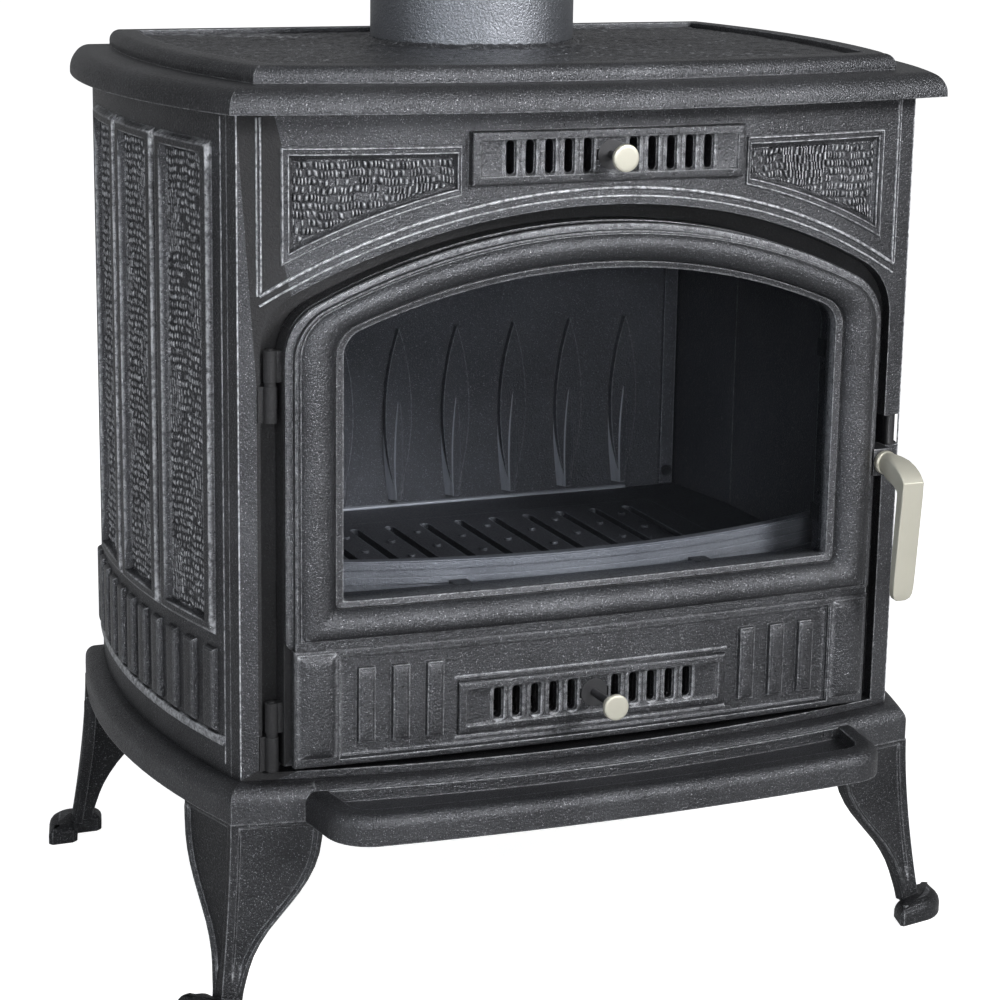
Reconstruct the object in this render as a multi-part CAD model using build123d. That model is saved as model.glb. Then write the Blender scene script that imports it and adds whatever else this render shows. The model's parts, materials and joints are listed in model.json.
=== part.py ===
from build123d import *
import math
import os

# Free-standing cast iron stove. Millimetres, +Z up, +X to the right of someone facing the stove,
# +Y to the back. The origin is on the floor, midway between the front and the back plate.

# ---------- overall ----------
LEG_HEIGHT = 146.0
BASE_THICKNESS = 27.0
BODY_HEIGHT = 487.0
BODY_DEPTH = 360.0
FRONT_WIDTH = 540.0
MIDDLE_WIDTH = 596.0
REAR_WIDTH = 558.0
FRONT_BOW = 32.0
WALL = 8.0
CORNER_RETURN = 12.0

# ---------- base plate and ash ledge ----------
BASE_FRONT_OVERHANG = 15.0
BASE_CORNER_OVERHANG = 12.0
BASE_SIDE_OVERHANG = 17.0
BASE_REAR_OVERHANG = 16.0
BASE_EDGE_ROUND = 12.0
BASE_FLOOR = 10.0
RIM = 16.0
LEDGE_WIDTH = 444.0
LEDGE_REACH = 102.0
LEDGE_BOW = 12.0
LEDGE_CORNER = 34.0
LEDGE_FLARE = 10.0
LEDGE_DROP = 5.0
LEDGE_RIM = 16.0
TRAY_DEPTH = 9.0

# ---------- legs ----------
LEG_ARM = 68.0
LEG_ANKLE = 15.0
LEG_THICKNESS = 9.0
LEG_LEAN = 12.0
FOOT_HEIGHT = 18.0
FOOT_ARM = 44.0
FOOT_WIDTH = 26.0
FOOT_SET_OUT = 16.0
FOOT_CORNER = 5.0
FOOT_EDGE = 4.0
LEG_LUG_REACH = 68.0
LEG_LUG_THICKNESS = 12.0
LEG_BOLT_GAP = 3.0
LEG_BOLT_SPACING = 21.0
LEG_BOLT_RADIUS = 4.0
LEG_BOLT_HEAD = 7.0
LEG_BOLT_HEAD_HEIGHT = 6.0

# ---------- top plate and flue collar ----------
TOP_LOWER_TIER = 18.0
TOP_UPPER_TIER = 12.0
TOP_FRONT_OVERHANG = 26.0
TOP_CORNER_OVERHANG = 12.0
TOP_SIDE_OVERHANG = 24.0
TOP_REAR_OVERHANG = 16.0
TIER_STEP_FRONT = 32.0
TIER_STEP_CORNER = 27.0
TIER_STEP_SIDE = 41.0
TIER_STEP_REAR = 15.0
TOP_FIELD_BORDER = 22.0
TOP_FIELD_DEPTH = 5.0
TOP_SKIN = 8.0
FLUE_BORE_RADIUS = 75.0
FLUE_WALL = 6.0
FLUE_HEIGHT = 70.0
FLUE_BEHIND_CENTRE = 57.0
FLUE_STOP_LIP = 5.0
FLUE_FLANGE_WIDTH = 20.0
FLUE_FLANGE_THICKNESS = 8.0

# ---------- door ----------
ARCH_RADIUS = 490.0
DOOR_WIDTH = 481.0
DOOR_BOTTOM = 12.0
DOOR_CROWN_DROP = 84.0
DOOR_CORNER = 42.0
DOOR_GAP = 14.0
DOOR_GAP_BELOW = 6.0
DOOR_FRONT = 31.0
DOOR_BOW = 10.0
DOOR_BACK = 4.0
FLANGE_FRONT = 12.0
FLANGE_LIP = 6.0
LANDING_THICKNESS = 6.0
LANDING_MARGIN = 3.0
ROPE_INSET = 9.0
ROPE_WIDTH = 10.0
ROPE_DEPTH = 6.0
ROPE_STANDOFF = 4.0
SEAT_CLEARANCE = 0.3
MOULDING_FOOT = 101.0
MOULDING_CREST = 0.57
INNER_BAND = 0.21
INNER_BAND_DEPTH = 4.0
MOULDING_STEPS = ((0.27, 1.0), (0.22, 3.0), (0.15, 5.0))
GLASS_OPENING_WIDTH = 396.0
GLASS_OPENING_BOTTOM = 135.0
GLASS_CROWN_DROP = 33.0
GLASS_OPENING_CORNER = 20.0
GLASS_OVERLAP = 7.0
GLASS_THICKNESS = 4.0
GLASS_GASKET = 2.0
GLASS_FRONT = 12.0
CLIP_TAB = 1.5
CLIP_TAIL = 5.0
CLIP_REACH = 16.0
CLIP_HALF = 7.0
CLIP_SCREW_INSET = 8.0
CLIP_SCREW_LENGTH = 10.0
CLIP_END_INSET = 30.0
CLIP_SPACING = 130.0
BAND_TOP = 95.0
BAND_BOTTOM = 18.0
BAND_WIDTH = 402.0
BAND_RECESS = 5.0
BAND_SKIN = 8.0
BAND_PAD_RECESS = 4.5
BAND_FLUTE_COUNT = 3
BAND_FLUTE_FIRST = 128.5
BAND_FLUTE_PITCH = 26.3
BAND_FLUTE_WIDTH = 12.5
BAND_FLUTE_MARGIN = 10.0
CAVITY_MARGIN = 4.0
CROSS_BAR = 14.0

# ---------- hinges ----------
HINGE_OFFSET = 7.5
HINGE_FRONT = 6.0
KNUCKLE_RADIUS = 5.0
KNUCKLE_HEIGHT = 26.0
KNUCKLE_WEB = 4.0
HINGE_PIN_RADIUS = 2.5
HINGE_COLLAR_RADIUS = 4.2
HINGE_COLLAR_HEIGHT = 3.0
UPPER_HINGE_DROP = 109.0
LOWER_HINGE_HEIGHT = 34.0
PIN_CLEARANCE = 0.05

# ---------- handle and latch ----------
SPINDLE_OFFSET = 6.5
SPINDLE_HEIGHT = 205.0
SPINDLE_RADIUS = 5.0
HUB_RADIUS = 8.5
HUB_LENGTH = 5.0
GRIP_WIDTH = 17.0
GRIP_LENGTH = 118.0
GRIP_THICKNESS = 7.0
GRIP_FRONT = 63.0
GRIP_RISE = 11.0
ARM_THICKNESS = 9.0
HOOK_THICKNESS = 5.0
HOOK_WIDTH = 12.0
HOOK_LENGTH = 28.0
HOOK_REST_ANGLE = 100.0
HOOK_TURN = 60.0
ROLLER_RADIUS = 4.5
ROLLER_PIN_RADIUS = 2.0
NOTCH_HEIGHT = 24.0
NOTCH_CENTRE = 226.0
LATCH_LUG_REACH = 19.0
LATCH_NUT_RADIUS = 6.5
LATCH_NUT_LENGTH = 6.0

# ---------- air sliders ----------
SLOT_PITCH = 15.0
SLOT_COUNT = 5
SLOT_FIRST = 18.0
SLOT_WIDTH = 6.5
SLIDE_TRAVEL = 7.5
SLIDER_THICKNESS = 4.0
SLIDER_MARGIN = 8.0
GUIDE_HEIGHT = 7.0
GUIDE_LIP = 3.0
RUN_CLEARANCE = 0.3
UPPER_PAD_WIDTH = 215.0
UPPER_PAD_HEIGHT = 38.0
UPPER_PAD_DROP = 15.0
UPPER_PAD_FRONT = 33.5
UPPER_PAD_BACK = 18.0
UPPER_SLOT_HEIGHT = 24.5
UPPER_SLOT_DROP = 21.5
LOWER_PAD_WIDTH = 220.0
LOWER_PAD_BOTTOM = 26.0
LOWER_PAD_TOP = 66.5
LOWER_SLOT_BOTTOM = 35.0
LOWER_SLOT_TOP = 59.0
PAD_BORDER = 6.0
PAD_RECESS = 1.5
STEM_RADIUS = 3.0
WASHER_RADIUS = 10.7
WASHER_THICKNESS = 2.0
KNOB_RADIUS = 10.0
KNOB_LENGTH = 10.0
UPPER_KNOB_FRONT = 60.0
LOWER_KNOB_FRONT = 68.0

# ---------- ornament ----------
SPANDREL_INNER_X = 115.0
SPANDREL_OUTER_X = 238.0
SPANDREL_DROP = 27.0
SPANDREL_ARCH_MARGIN = 24.0
SPANDREL_DEPTH = 3.0
SIDE_PANEL_FIRST = 32.0
SIDE_PANEL_PITCH = 90.0
SIDE_PANEL_SPAN = 78.0
SIDE_PANEL_COUNT = 3
SIDE_PANEL_DROP = 25.0
SIDE_PANEL_BOTTOM = 106.0
SIDE_PANEL_DEPTH = 3.0
SIDE_FRAME_WIDTH = 7.0
SIDE_FRAME_RISE = 3.4
WEAVE_BLOCK = 25.0
WEAVE_PITCH = 42.0
WEAVE_RISE = 1.2
WEAVE_MARGIN = 9.5
FLUTE_FIRST = 36.5
FLUTE_PITCH = 30.0
FLUTE_COUNT = 11
FLUTE_SPAN = 13.0
FLUTE_TOP = 93.0
FLUTE_BOTTOM = 32.0
FLUTE_RISE = 2.5

# ---------- firebox ----------
FIRE_FLOOR = 108.0
FIRE_FLOOR_THICKNESS = 9.0
GRATE_WIDTH = 370.0
GRATE_DEPTH = 200.0
GRATE_CENTRE_Y = -10.0
GRATE_THICKNESS = 9.0
GRATE_SLOT = 8.0
GRATE_PITCH = 31.0
STUD_RADIUS = 3.0
STUD_RISE = 1.8
STUD_SPACING = 46.0
GRATE_LEDGE = 8.0
LINER_THICKNESS = 10.0
LINER_DROP = 79.0
BACK_LINER_WIDTH = 478.0
BACK_LINER_GAP = 9.0
SIDE_LINER_X = 252.0
SIDE_LINER_FRONT = 60.0
CORNER_LINER_RUN = 88.0
RIB_COUNT = 8
RIB_PITCH = 53.0
RIB_WIDTH = 24.0
RIB_LENGTH = 150.0
RIB_RISE = 7.0
RIB_BASE = 7.0
CLIP_WIDTH = 12.0
CLIP_THICKNESS = 3.0
CLIP_SCREW_END = 13.0
GUARD_HEIGHT = 41.0
GUARD_THICKNESS = 8.0
GUARD_WIDTH = 490.0
GUARD_FRONT = 6.0
GUARD_BOW = 52.0
GUARD_RIB_COUNT = 3
GUARD_RIB_FIRST = 4.0
GUARD_RIB_PITCH = 11.0
GUARD_RIB_HEIGHT = 5.0
GUARD_RIB_RISE = 2.0
BAFFLE_THICKNESS = 10.0
BAFFLE_FRONT_GAP = 70.0
LUG_SIZE = 12.0

# ---------- ash pan, shield and fasteners ----------
ASH_PAN_WIDTH = 380.0
ASH_PAN_DEPTH = 280.0
ASH_PAN_HEIGHT = 56.0
ASH_PAN_WALL = 1.5
PAN_RIB = 8.0
PAN_RIB_INSET = 30.0
SHIELD_GAP = 14.0
SHIELD_THICKNESS = 1.5
SHIELD_WIDTH = 440.0
SHIELD_LIFT = 20.0
SHIELD_DROP = 87.0
SPACER_RADIUS = 7.0
ROD_RADIUS = 5.0
ROD_WALL_GAP = 3.0
ROD_END_INSET = 60.0
ROD_BOSS_RADIUS = 11.0
NUT_RADIUS = 9.0
NUT_HEIGHT = 8.0
SCREW_RADIUS = 2.5
SCREW_HEAD = 5.0
SCREW_HEAD_HEIGHT = 3.0
THREAD_CLEARANCE = 0.05

# ---------- worked out from the sizes above ----------
BASE_TOP = LEG_HEIGHT + BASE_THICKNESS
BODY_TOP = BASE_TOP + BODY_HEIGHT
TIER_TOP = BODY_TOP + TOP_LOWER_TIER
STOVE_TOP = TIER_TOP + TOP_UPPER_TIER
FRONT_Y = -BODY_DEPTH / 2
BACK_Y = BODY_DEPTH / 2
DOOR_CROWN = BODY_HEIGHT - DOOR_CROWN_DROP
GLASS_OPENING_CROWN = DOOR_CROWN - GLASS_CROWN_DROP
UPPER_HINGE_HEIGHT = DOOR_CROWN - UPPER_HINGE_DROP
UPPER_PAD_TOP = BODY_HEIGHT - UPPER_PAD_DROP
UPPER_PAD_BOTTOM = UPPER_PAD_TOP - UPPER_PAD_HEIGHT
UPPER_SLOT_TOP = BODY_HEIGHT - UPPER_SLOT_DROP
UPPER_SLOT_BOTTOM = UPPER_SLOT_TOP - UPPER_SLOT_HEIGHT
SPANDREL_TOP = BODY_HEIGHT - SPANDREL_DROP
SIDE_PANEL_TOP = BODY_HEIGHT - SIDE_PANEL_DROP
LINER_HEIGHT = BODY_HEIGHT - FIRE_FLOOR - LINER_DROP
SHIELD_HEIGHT = BODY_HEIGHT - SHIELD_DROP
HALF_FRONT = FRONT_WIDTH / 2
HALF_MIDDLE = MIDDLE_WIDTH / 2
HALF_REAR = REAR_WIDTH / 2
FRONT_RADIUS = (HALF_FRONT**2 + FRONT_BOW**2) / (2 * FRONT_BOW)
FRONT_CENTRE_Y = FRONT_Y - FRONT_BOW + FRONT_RADIUS
HALF_DOOR = DOOR_WIDTH / 2
DOOR_RADIUS = (HALF_DOOR**2 + DOOR_BOW**2) / (2 * DOOR_BOW)
DOOR_BACK_Y = FRONT_Y + DOOR_BACK
DOOR_CREST_Y = FRONT_Y - DOOR_FRONT
LANDING_Y = DOOR_BACK_Y + ROPE_STANDOFF
GLASS_FRONT_Y = FRONT_Y - GLASS_FRONT
GLASS_SEAT_Y = GLASS_FRONT_Y - GLASS_GASKET
BASE_HALF_DEPTH = (BODY_DEPTH + BASE_FRONT_OVERHANG + BASE_REAR_OVERHANG) / 2
HINGE_X = -HALF_DOOR - HINGE_OFFSET
HINGE_Y = FRONT_Y - HINGE_FRONT
SPINDLE_X = HALF_DOOR + SPINDLE_OFFSET
SPINDLE_Z = BASE_TOP + SPINDLE_HEIGHT
NOTCH_Z = BASE_TOP + NOTCH_CENTRE
HOOK_FRONT_Y = DOOR_BACK_Y + 2.0
ROLLER_Y = HOOK_FRONT_Y - SEAT_CLEARANCE - ROLLER_RADIUS
ROLLER_X = HALF_DOOR + DOOR_GAP + ROLLER_RADIUS + 2.5
FLOOR_Z = BASE_TOP + FIRE_FLOOR
FLUE_Y = FLUE_BEHIND_CENTRE
TOP_UNDERSIDE = STOVE_TOP - TOP_FIELD_DEPTH - TOP_SKIN
ROPE_OUTER = -ROPE_INSET
ROPE_INNER = -ROPE_INSET - ROPE_WIDTH
LANDING_INNER = ROPE_INNER - LANDING_MARGIN
PAN_BOTTOM = DOOR_BOTTOM - LANDING_INNER + 1.0
SLOT_LAST = SLOT_FIRST + (SLOT_COUNT - 1) * SLOT_PITCH
SLIDER_HALF = SLOT_LAST + SLOT_WIDTH / 2 + SLIDER_MARGIN


# ---------- helpers ----------
def save(node, shape):
    shape.label = node
    export_step(shape, f"parts/{node}.step")


def group(pieces):
    return Compound(children=list(pieces))


def rise(sketch, bottom, top):
    """Extrude a plan sketch between two heights."""
    return extrude(Pos(0, 0, bottom) * sketch, amount=top - bottom)


def through(sketch, front, back):
    """Extrude an elevation sketch, drawn in x and z, between two depths."""
    return extrude(Plane.XZ.offset(-back) * sketch, amount=back - front)


def across(sketch, left, right):
    """Extrude a side elevation sketch, drawn in y and z, between two widths."""
    return extrude(Plane.YZ.offset(left) * sketch, amount=right - left)


def box(left, right, front, back, bottom, top):
    return Pos((left + right) / 2, (front + back) / 2, (bottom + top) / 2) * Box(
        right - left, back - front, top - bottom
    )


def rod(x, y, bottom, top, radius):
    return Pos(x, y, (bottom + top) / 2) * Cylinder(radius, top - bottom)


def rod_y(x, z, front, back, radius):
    return Pos(x, (front + back) / 2, z) * Rot(90, 0, 0) * Cylinder(radius, back - front)


def hexagon_y(x, z, front, back, radius):
    return through(Pos(x, z) * RegularPolygon(radius, 6), front, back)


def hexagon_z(x, y, bottom, top, radius):
    return rise(Pos(x, y) * RegularPolygon(radius, 6), bottom, top)


def plan(front_half, middle_half, rear_half, front, back, bow):
    """Plan outline: bowed front, bowed sides, straight back."""
    middle = (front + back) / 2
    return make_face(
        [
            ThreePointArc((-front_half, front), (0, front - bow), (front_half, front)),
            ThreePointArc((front_half, front), (middle_half, middle), (rear_half, back)),
            Line((rear_half, back), (-rear_half, back)),
            ThreePointArc((-rear_half, back), (-middle_half, middle), (-front_half, front)),
        ]
    )


def body_plan():
    return plan(HALF_FRONT, HALF_MIDDLE, HALF_REAR, FRONT_Y, BACK_Y, FRONT_BOW)


def body_inside(extra=0.0):
    return offset(body_plan(), -WALL - extra, kind=Kind.INTERSECTION)


def side_x(y, inset=0.0):
    """Half width of the body's outer side face at a depth, less an inset."""
    half_depth = BODY_DEPTH / 2
    chord = HALF_FRONT + (HALF_REAR - HALF_FRONT) * (y + half_depth) / BODY_DEPTH
    bow = HALF_MIDDLE - (HALF_FRONT + HALF_REAR) / 2
    return chord + bow * (1 - (y / half_depth) ** 2) - inset


def front_skin(inner, outer):
    """Band between two offsets of the body's bowed front face, full height."""
    ring = Circle(FRONT_RADIUS + outer) - Circle(FRONT_RADIUS + inner)
    window = Pos(0, FRONT_Y - FRONT_BOW) * Rectangle(4 * HALF_FRONT, 4 * FRONT_BOW + 8 * WALL)
    return rise((Pos(0, FRONT_CENTRE_Y) * ring) & window, BASE_TOP, BODY_TOP)


def door_slab(rise_over, back, margin=0.0):
    """Solid between the door's bowed face, raised by an amount, and a flat back plane."""
    front = Pos(0, DOOR_CREST_Y + DOOR_RADIUS) * Circle(DOOR_RADIUS + rise_over)
    window_front = DOOR_CREST_Y - rise_over - 1
    window = Pos(0, (window_front + back) / 2) * Rectangle(2 * DOOR_WIDTH, back - window_front)
    return rise(front & window, BASE_TOP - margin, BODY_TOP + margin)


def arch(half, bottom, crown, corner):
    """Elevation outline with straight sides under a flat arch, in x and z above the base."""
    centre = crown - ARCH_RADIUS
    spring = centre + math.sqrt(ARCH_RADIUS**2 - half**2)
    outline = make_face(
        [
            Line((-half, bottom), (half, bottom)),
            Line((half, bottom), (half, spring)),
            ThreePointArc((half, spring), (0, crown), (-half, spring)),
            Line((-half, spring), (-half, bottom)),
        ]
    )
    tops = outline.vertices().filter_by_position(Axis.Y, spring - 1, spring + 1)
    return Pos(0, BASE_TOP) * fillet(tops, corner)


def door_arch(grow):
    return arch(HALF_DOOR + grow, DOOR_BOTTOM - grow, DOOR_CROWN + grow, DOOR_CORNER + grow / 2)


def rebate_arch():
    return arch(
        HALF_DOOR + DOOR_GAP,
        DOOR_BOTTOM - DOOR_GAP_BELOW,
        DOOR_CROWN + DOOR_GAP,
        DOOR_CORNER + DOOR_GAP / 2,
    )


def glass_arch(grow):
    return arch(
        GLASS_OPENING_WIDTH / 2 + grow,
        GLASS_OPENING_BOTTOM - grow,
        GLASS_OPENING_CROWN + grow,
        GLASS_OPENING_CORNER + grow / 2,
    )


def moulding_arch(share):
    """Outline between the glass opening, at share 0, and the door's edge and band, at share 1."""
    return arch(
        GLASS_OPENING_WIDTH / 2 + share * (HALF_DOOR - GLASS_OPENING_WIDTH / 2),
        GLASS_OPENING_BOTTOM + share * (MOULDING_FOOT - GLASS_OPENING_BOTTOM),
        GLASS_OPENING_CROWN + share * (DOOR_CROWN - GLASS_OPENING_CROWN),
        GLASS_OPENING_CORNER + share * (DOOR_CORNER - GLASS_OPENING_CORNER),
    )


def plate(left, right, bottom, top):
    """Rectangle in elevation, heights measured from the top of the base."""
    return Pos((left + right) / 2, BASE_TOP + (bottom + top) / 2) * Rectangle(right - left, top - bottom)


def slot_row(bottom, top, shift=0.0):
    """Ten upright round-ended slots in two groups of five."""
    slot = SlotOverall(top - bottom, SLOT_WIDTH, rotation=90)
    height = BASE_TOP + (bottom + top) / 2
    places = [SLOT_FIRST + index * SLOT_PITCH for index in range(SLOT_COUNT)]
    return [Pos(side * place + shift, height) * slot for place in places for side in (-1, 1)]


def cut_all(solid, sketches, front, back):
    for sketch in sketches:
        solid -= through(sketch, front, back)
    return solid


# ---------- base, legs and ledge ----------
def base_outline():
    return plan(
        HALF_FRONT + BASE_CORNER_OVERHANG,
        HALF_MIDDLE + BASE_SIDE_OVERHANG,
        HALF_REAR + BASE_CORNER_OVERHANG,
        FRONT_Y - BASE_FRONT_OVERHANG,
        BACK_Y + BASE_REAR_OVERHANG,
        FRONT_BOW,
    )


def ledge_outline(inset=0.0):
    half = LEDGE_WIDTH / 2 - inset
    root = half + LEDGE_FLARE
    front = FRONT_Y - LEDGE_REACH + inset
    back = FRONT_Y
    corner_front = front + LEDGE_BOW
    outline = make_face(
        [
            ThreePointArc((-half, corner_front), (0, front), (half, corner_front)),
            Line((half, corner_front), (root, back)),
            Line((root, back), (-root, back)),
            Line((-root, back), (-half, corner_front)),
        ]
    )
    corners = outline.vertices().filter_by_position(Axis.Y, corner_front - 1, corner_front + 1)
    return fillet(corners, LEDGE_CORNER - inset)


def rod_places():
    for side in (-1, 1):
        for y in (FRONT_Y + ROD_END_INSET, BACK_Y - ROD_END_INSET):
            yield side * side_x(y, WALL + ROD_WALL_GAP + ROD_RADIUS), y


def leg_corner(front):
    if front:
        return HALF_FRONT + BASE_CORNER_OVERHANG, FRONT_Y - BASE_FRONT_OVERHANG
    return HALF_REAR + BASE_CORNER_OVERHANG, BACK_Y + BASE_REAR_OVERHANG


def leg_bolt_places(side, front):
    """Two bolts through the lug inside each leg's corner."""
    x, y = leg_corner(front)
    inward = 1 if front else -1
    near = LEG_THICKNESS + LEG_BOLT_HEAD + LEG_BOLT_GAP
    far = near + LEG_BOLT_SPACING
    yield side * (x - far), y + inward * near
    yield side * (x - near), y + inward * far


def make_base():
    slab = rise(base_outline(), LEG_HEIGHT, BASE_TOP)
    slab = fillet(slab.faces().sort_by(Axis.Z)[-1].edges(), BASE_EDGE_ROUND)
    ledge_top = BASE_TOP - LEDGE_DROP
    ledge = rise(ledge_outline(), LEG_HEIGHT, ledge_top)
    ledge = fillet(ledge.faces().sort_by(Axis.Z)[-1].edges().sort_by(Axis.Y)[:-1], LEDGE_RIM * 0.55)
    tray = rise(ledge_outline(LEDGE_RIM) - base_outline(), ledge_top - TRAY_DEPTH, ledge_top)
    base = slab + (ledge - tray)
    pocket = rise(offset(body_plan(), -RIM), LEG_HEIGHT, BASE_TOP - BASE_FLOOR)
    base -= pocket
    for side in (-1, 1):
        for front in (True, False):
            for x, y in leg_bolt_places(side, front):
                base += rod(x, y, LEG_HEIGHT, BASE_TOP - BASE_FLOOR, LEG_BOLT_HEAD + 2)
                base -= rod(x, y, LEG_HEIGHT, BASE_TOP - BASE_FLOOR, LEG_BOLT_RADIUS + THREAD_CLEARANCE)
    for x, y in rod_places():
        base -= rod(x, y, LEG_HEIGHT, BASE_TOP, ROD_RADIUS + THREAD_CLEARANCE)
        base -= rod(x, y, LEG_HEIGHT, BASE_TOP - BASE_FLOOR, NUT_RADIUS + 2)
    # Two ribs carry the ash pan level with the lower edge of the fire opening.
    for side in (-1, 1):
        x = side * (ASH_PAN_WIDTH / 2 - PAN_RIB_INSET)
        base += box(x - PAN_RIB / 2, x + PAN_RIB / 2, pan_front(), pan_front() + ASH_PAN_DEPTH,
                    BASE_TOP - 1, BASE_TOP + PAN_BOTTOM)
    return base


def leg_angles(front):
    """Turn of a leg's two arms, so that they follow the base plate's edges."""
    corner_x, corner_y = leg_corner(front)
    reach = LEG_ARM / BASE_HALF_DEPTH
    middle_x = HALF_MIDDLE + BASE_SIDE_OVERHANG
    side_run = (middle_x - corner_x) * (1 - (1 - reach) ** 2)
    side_angle = math.atan2(side_run, LEG_ARM)
    if not front:
        return 0.0, side_angle
    front_run = FRONT_BOW * (1 - (1 - LEG_ARM / corner_x) ** 2)
    return math.atan2(front_run, LEG_ARM), side_angle


def leg_section(level, arm, thick, shift, front_angle, side_angle):
    """L-shaped section of the left front leg: the corner, then one arm to the right, one to the back."""
    along = Vector(math.cos(front_angle), -math.sin(front_angle))
    behind = Vector(-math.sin(side_angle), math.cos(side_angle))
    corner = Vector(-shift, -shift)
    inner = corner + along * thick + behind * thick
    points = [
        corner,
        corner + along * arm,
        corner + along * arm + behind * thick,
        inner,
        corner + behind * arm + along * thick,
        corner + behind * arm,
    ]
    return Pos(0, 0, level) * make_face(Polyline([(p.X, p.Y) for p in points], close=True))


def make_leg(front):
    """Cabriole leg at the left, lofted through L sections that narrow to the ankle."""
    front_angle, side_angle = leg_angles(front)
    ankle_level = FOOT_HEIGHT - 4
    steps = 8
    sections = []
    for step in range(steps + 1):
        down = step / steps
        level = LEG_HEIGHT + (ankle_level - LEG_HEIGHT) * down
        narrow = 0.5 - 0.5 * math.cos(math.pi * min(1.0, down * 1.15))
        arm = LEG_ARM + (LEG_ANKLE - LEG_ARM) * narrow
        shift = LEG_LEAN * down**1.6
        sections.append(leg_section(level, arm, LEG_THICKNESS, shift, front_angle, side_angle))
    leg = loft(sections, ruled=True)
    foot_sketch = leg_section(0, FOOT_ARM, FOOT_WIDTH, LEG_LEAN + FOOT_SET_OUT, front_angle, side_angle)
    foot = rise(fillet(foot_sketch.vertices(), FOOT_CORNER), 0, FOOT_HEIGHT)
    foot = fillet(foot.faces().sort_by(Axis.Z)[-1].edges(), FOOT_EDGE)
    inset = LEG_THICKNESS / 3
    lug_corners = [(inset, inset), (LEG_LUG_REACH, inset), (inset, LEG_LUG_REACH)]
    lug_face = make_face(Polyline(lug_corners, close=True))
    lug = rise(lug_face, LEG_HEIGHT - LEG_LUG_THICKNESS, LEG_HEIGHT)
    x, y = leg_corner(front)
    if not front:
        return mirror(Pos(-x, -y) * (leg + foot + lug), Plane.XZ)
    return Pos(-x, y) * (leg + foot + lug)


def drilled_leg(side, front):
    leg = make_leg(front)
    if side > 0:
        leg = mirror(leg, Plane.YZ)
    for x, y in leg_bolt_places(side, front):
        leg -= rod(x, y, LEG_HEIGHT - LEG_LUG_THICKNESS, LEG_HEIGHT, LEG_BOLT_RADIUS + THREAD_CLEARANCE)
    return leg


def make_leg_bolts():
    bolts = []
    for side in (-1, 1):
        for front in (True, False):
            for x, y in leg_bolt_places(side, front):
                head_top = LEG_HEIGHT - LEG_LUG_THICKNESS
                shank = rod(x, y, head_top, BASE_TOP - BASE_FLOOR - 1, LEG_BOLT_RADIUS)
                head = hexagon_z(x, y, head_top - LEG_BOLT_HEAD_HEIGHT, head_top, LEG_BOLT_HEAD)
                bolts.append(shank + head)
    return group(bolts)


# ---------- body plates ----------
def body_ring():
    return rise(body_plan() - body_inside(), BASE_TOP, BODY_TOP)


def spandrel(side):
    """Elevation of the textured corner panel between the arch and the top, in x and z."""
    centre = DOOR_CROWN + DOOR_GAP - ARCH_RADIUS
    radius = ARCH_RADIUS + SPANDREL_ARCH_MARGIN
    window = plate(SPANDREL_INNER_X, SPANDREL_OUTER_X, centre, SPANDREL_TOP)
    face = window - Pos(0, BASE_TOP + centre) * Circle(radius)
    return face if side > 0 else mirror(face, Plane.YZ)


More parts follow.
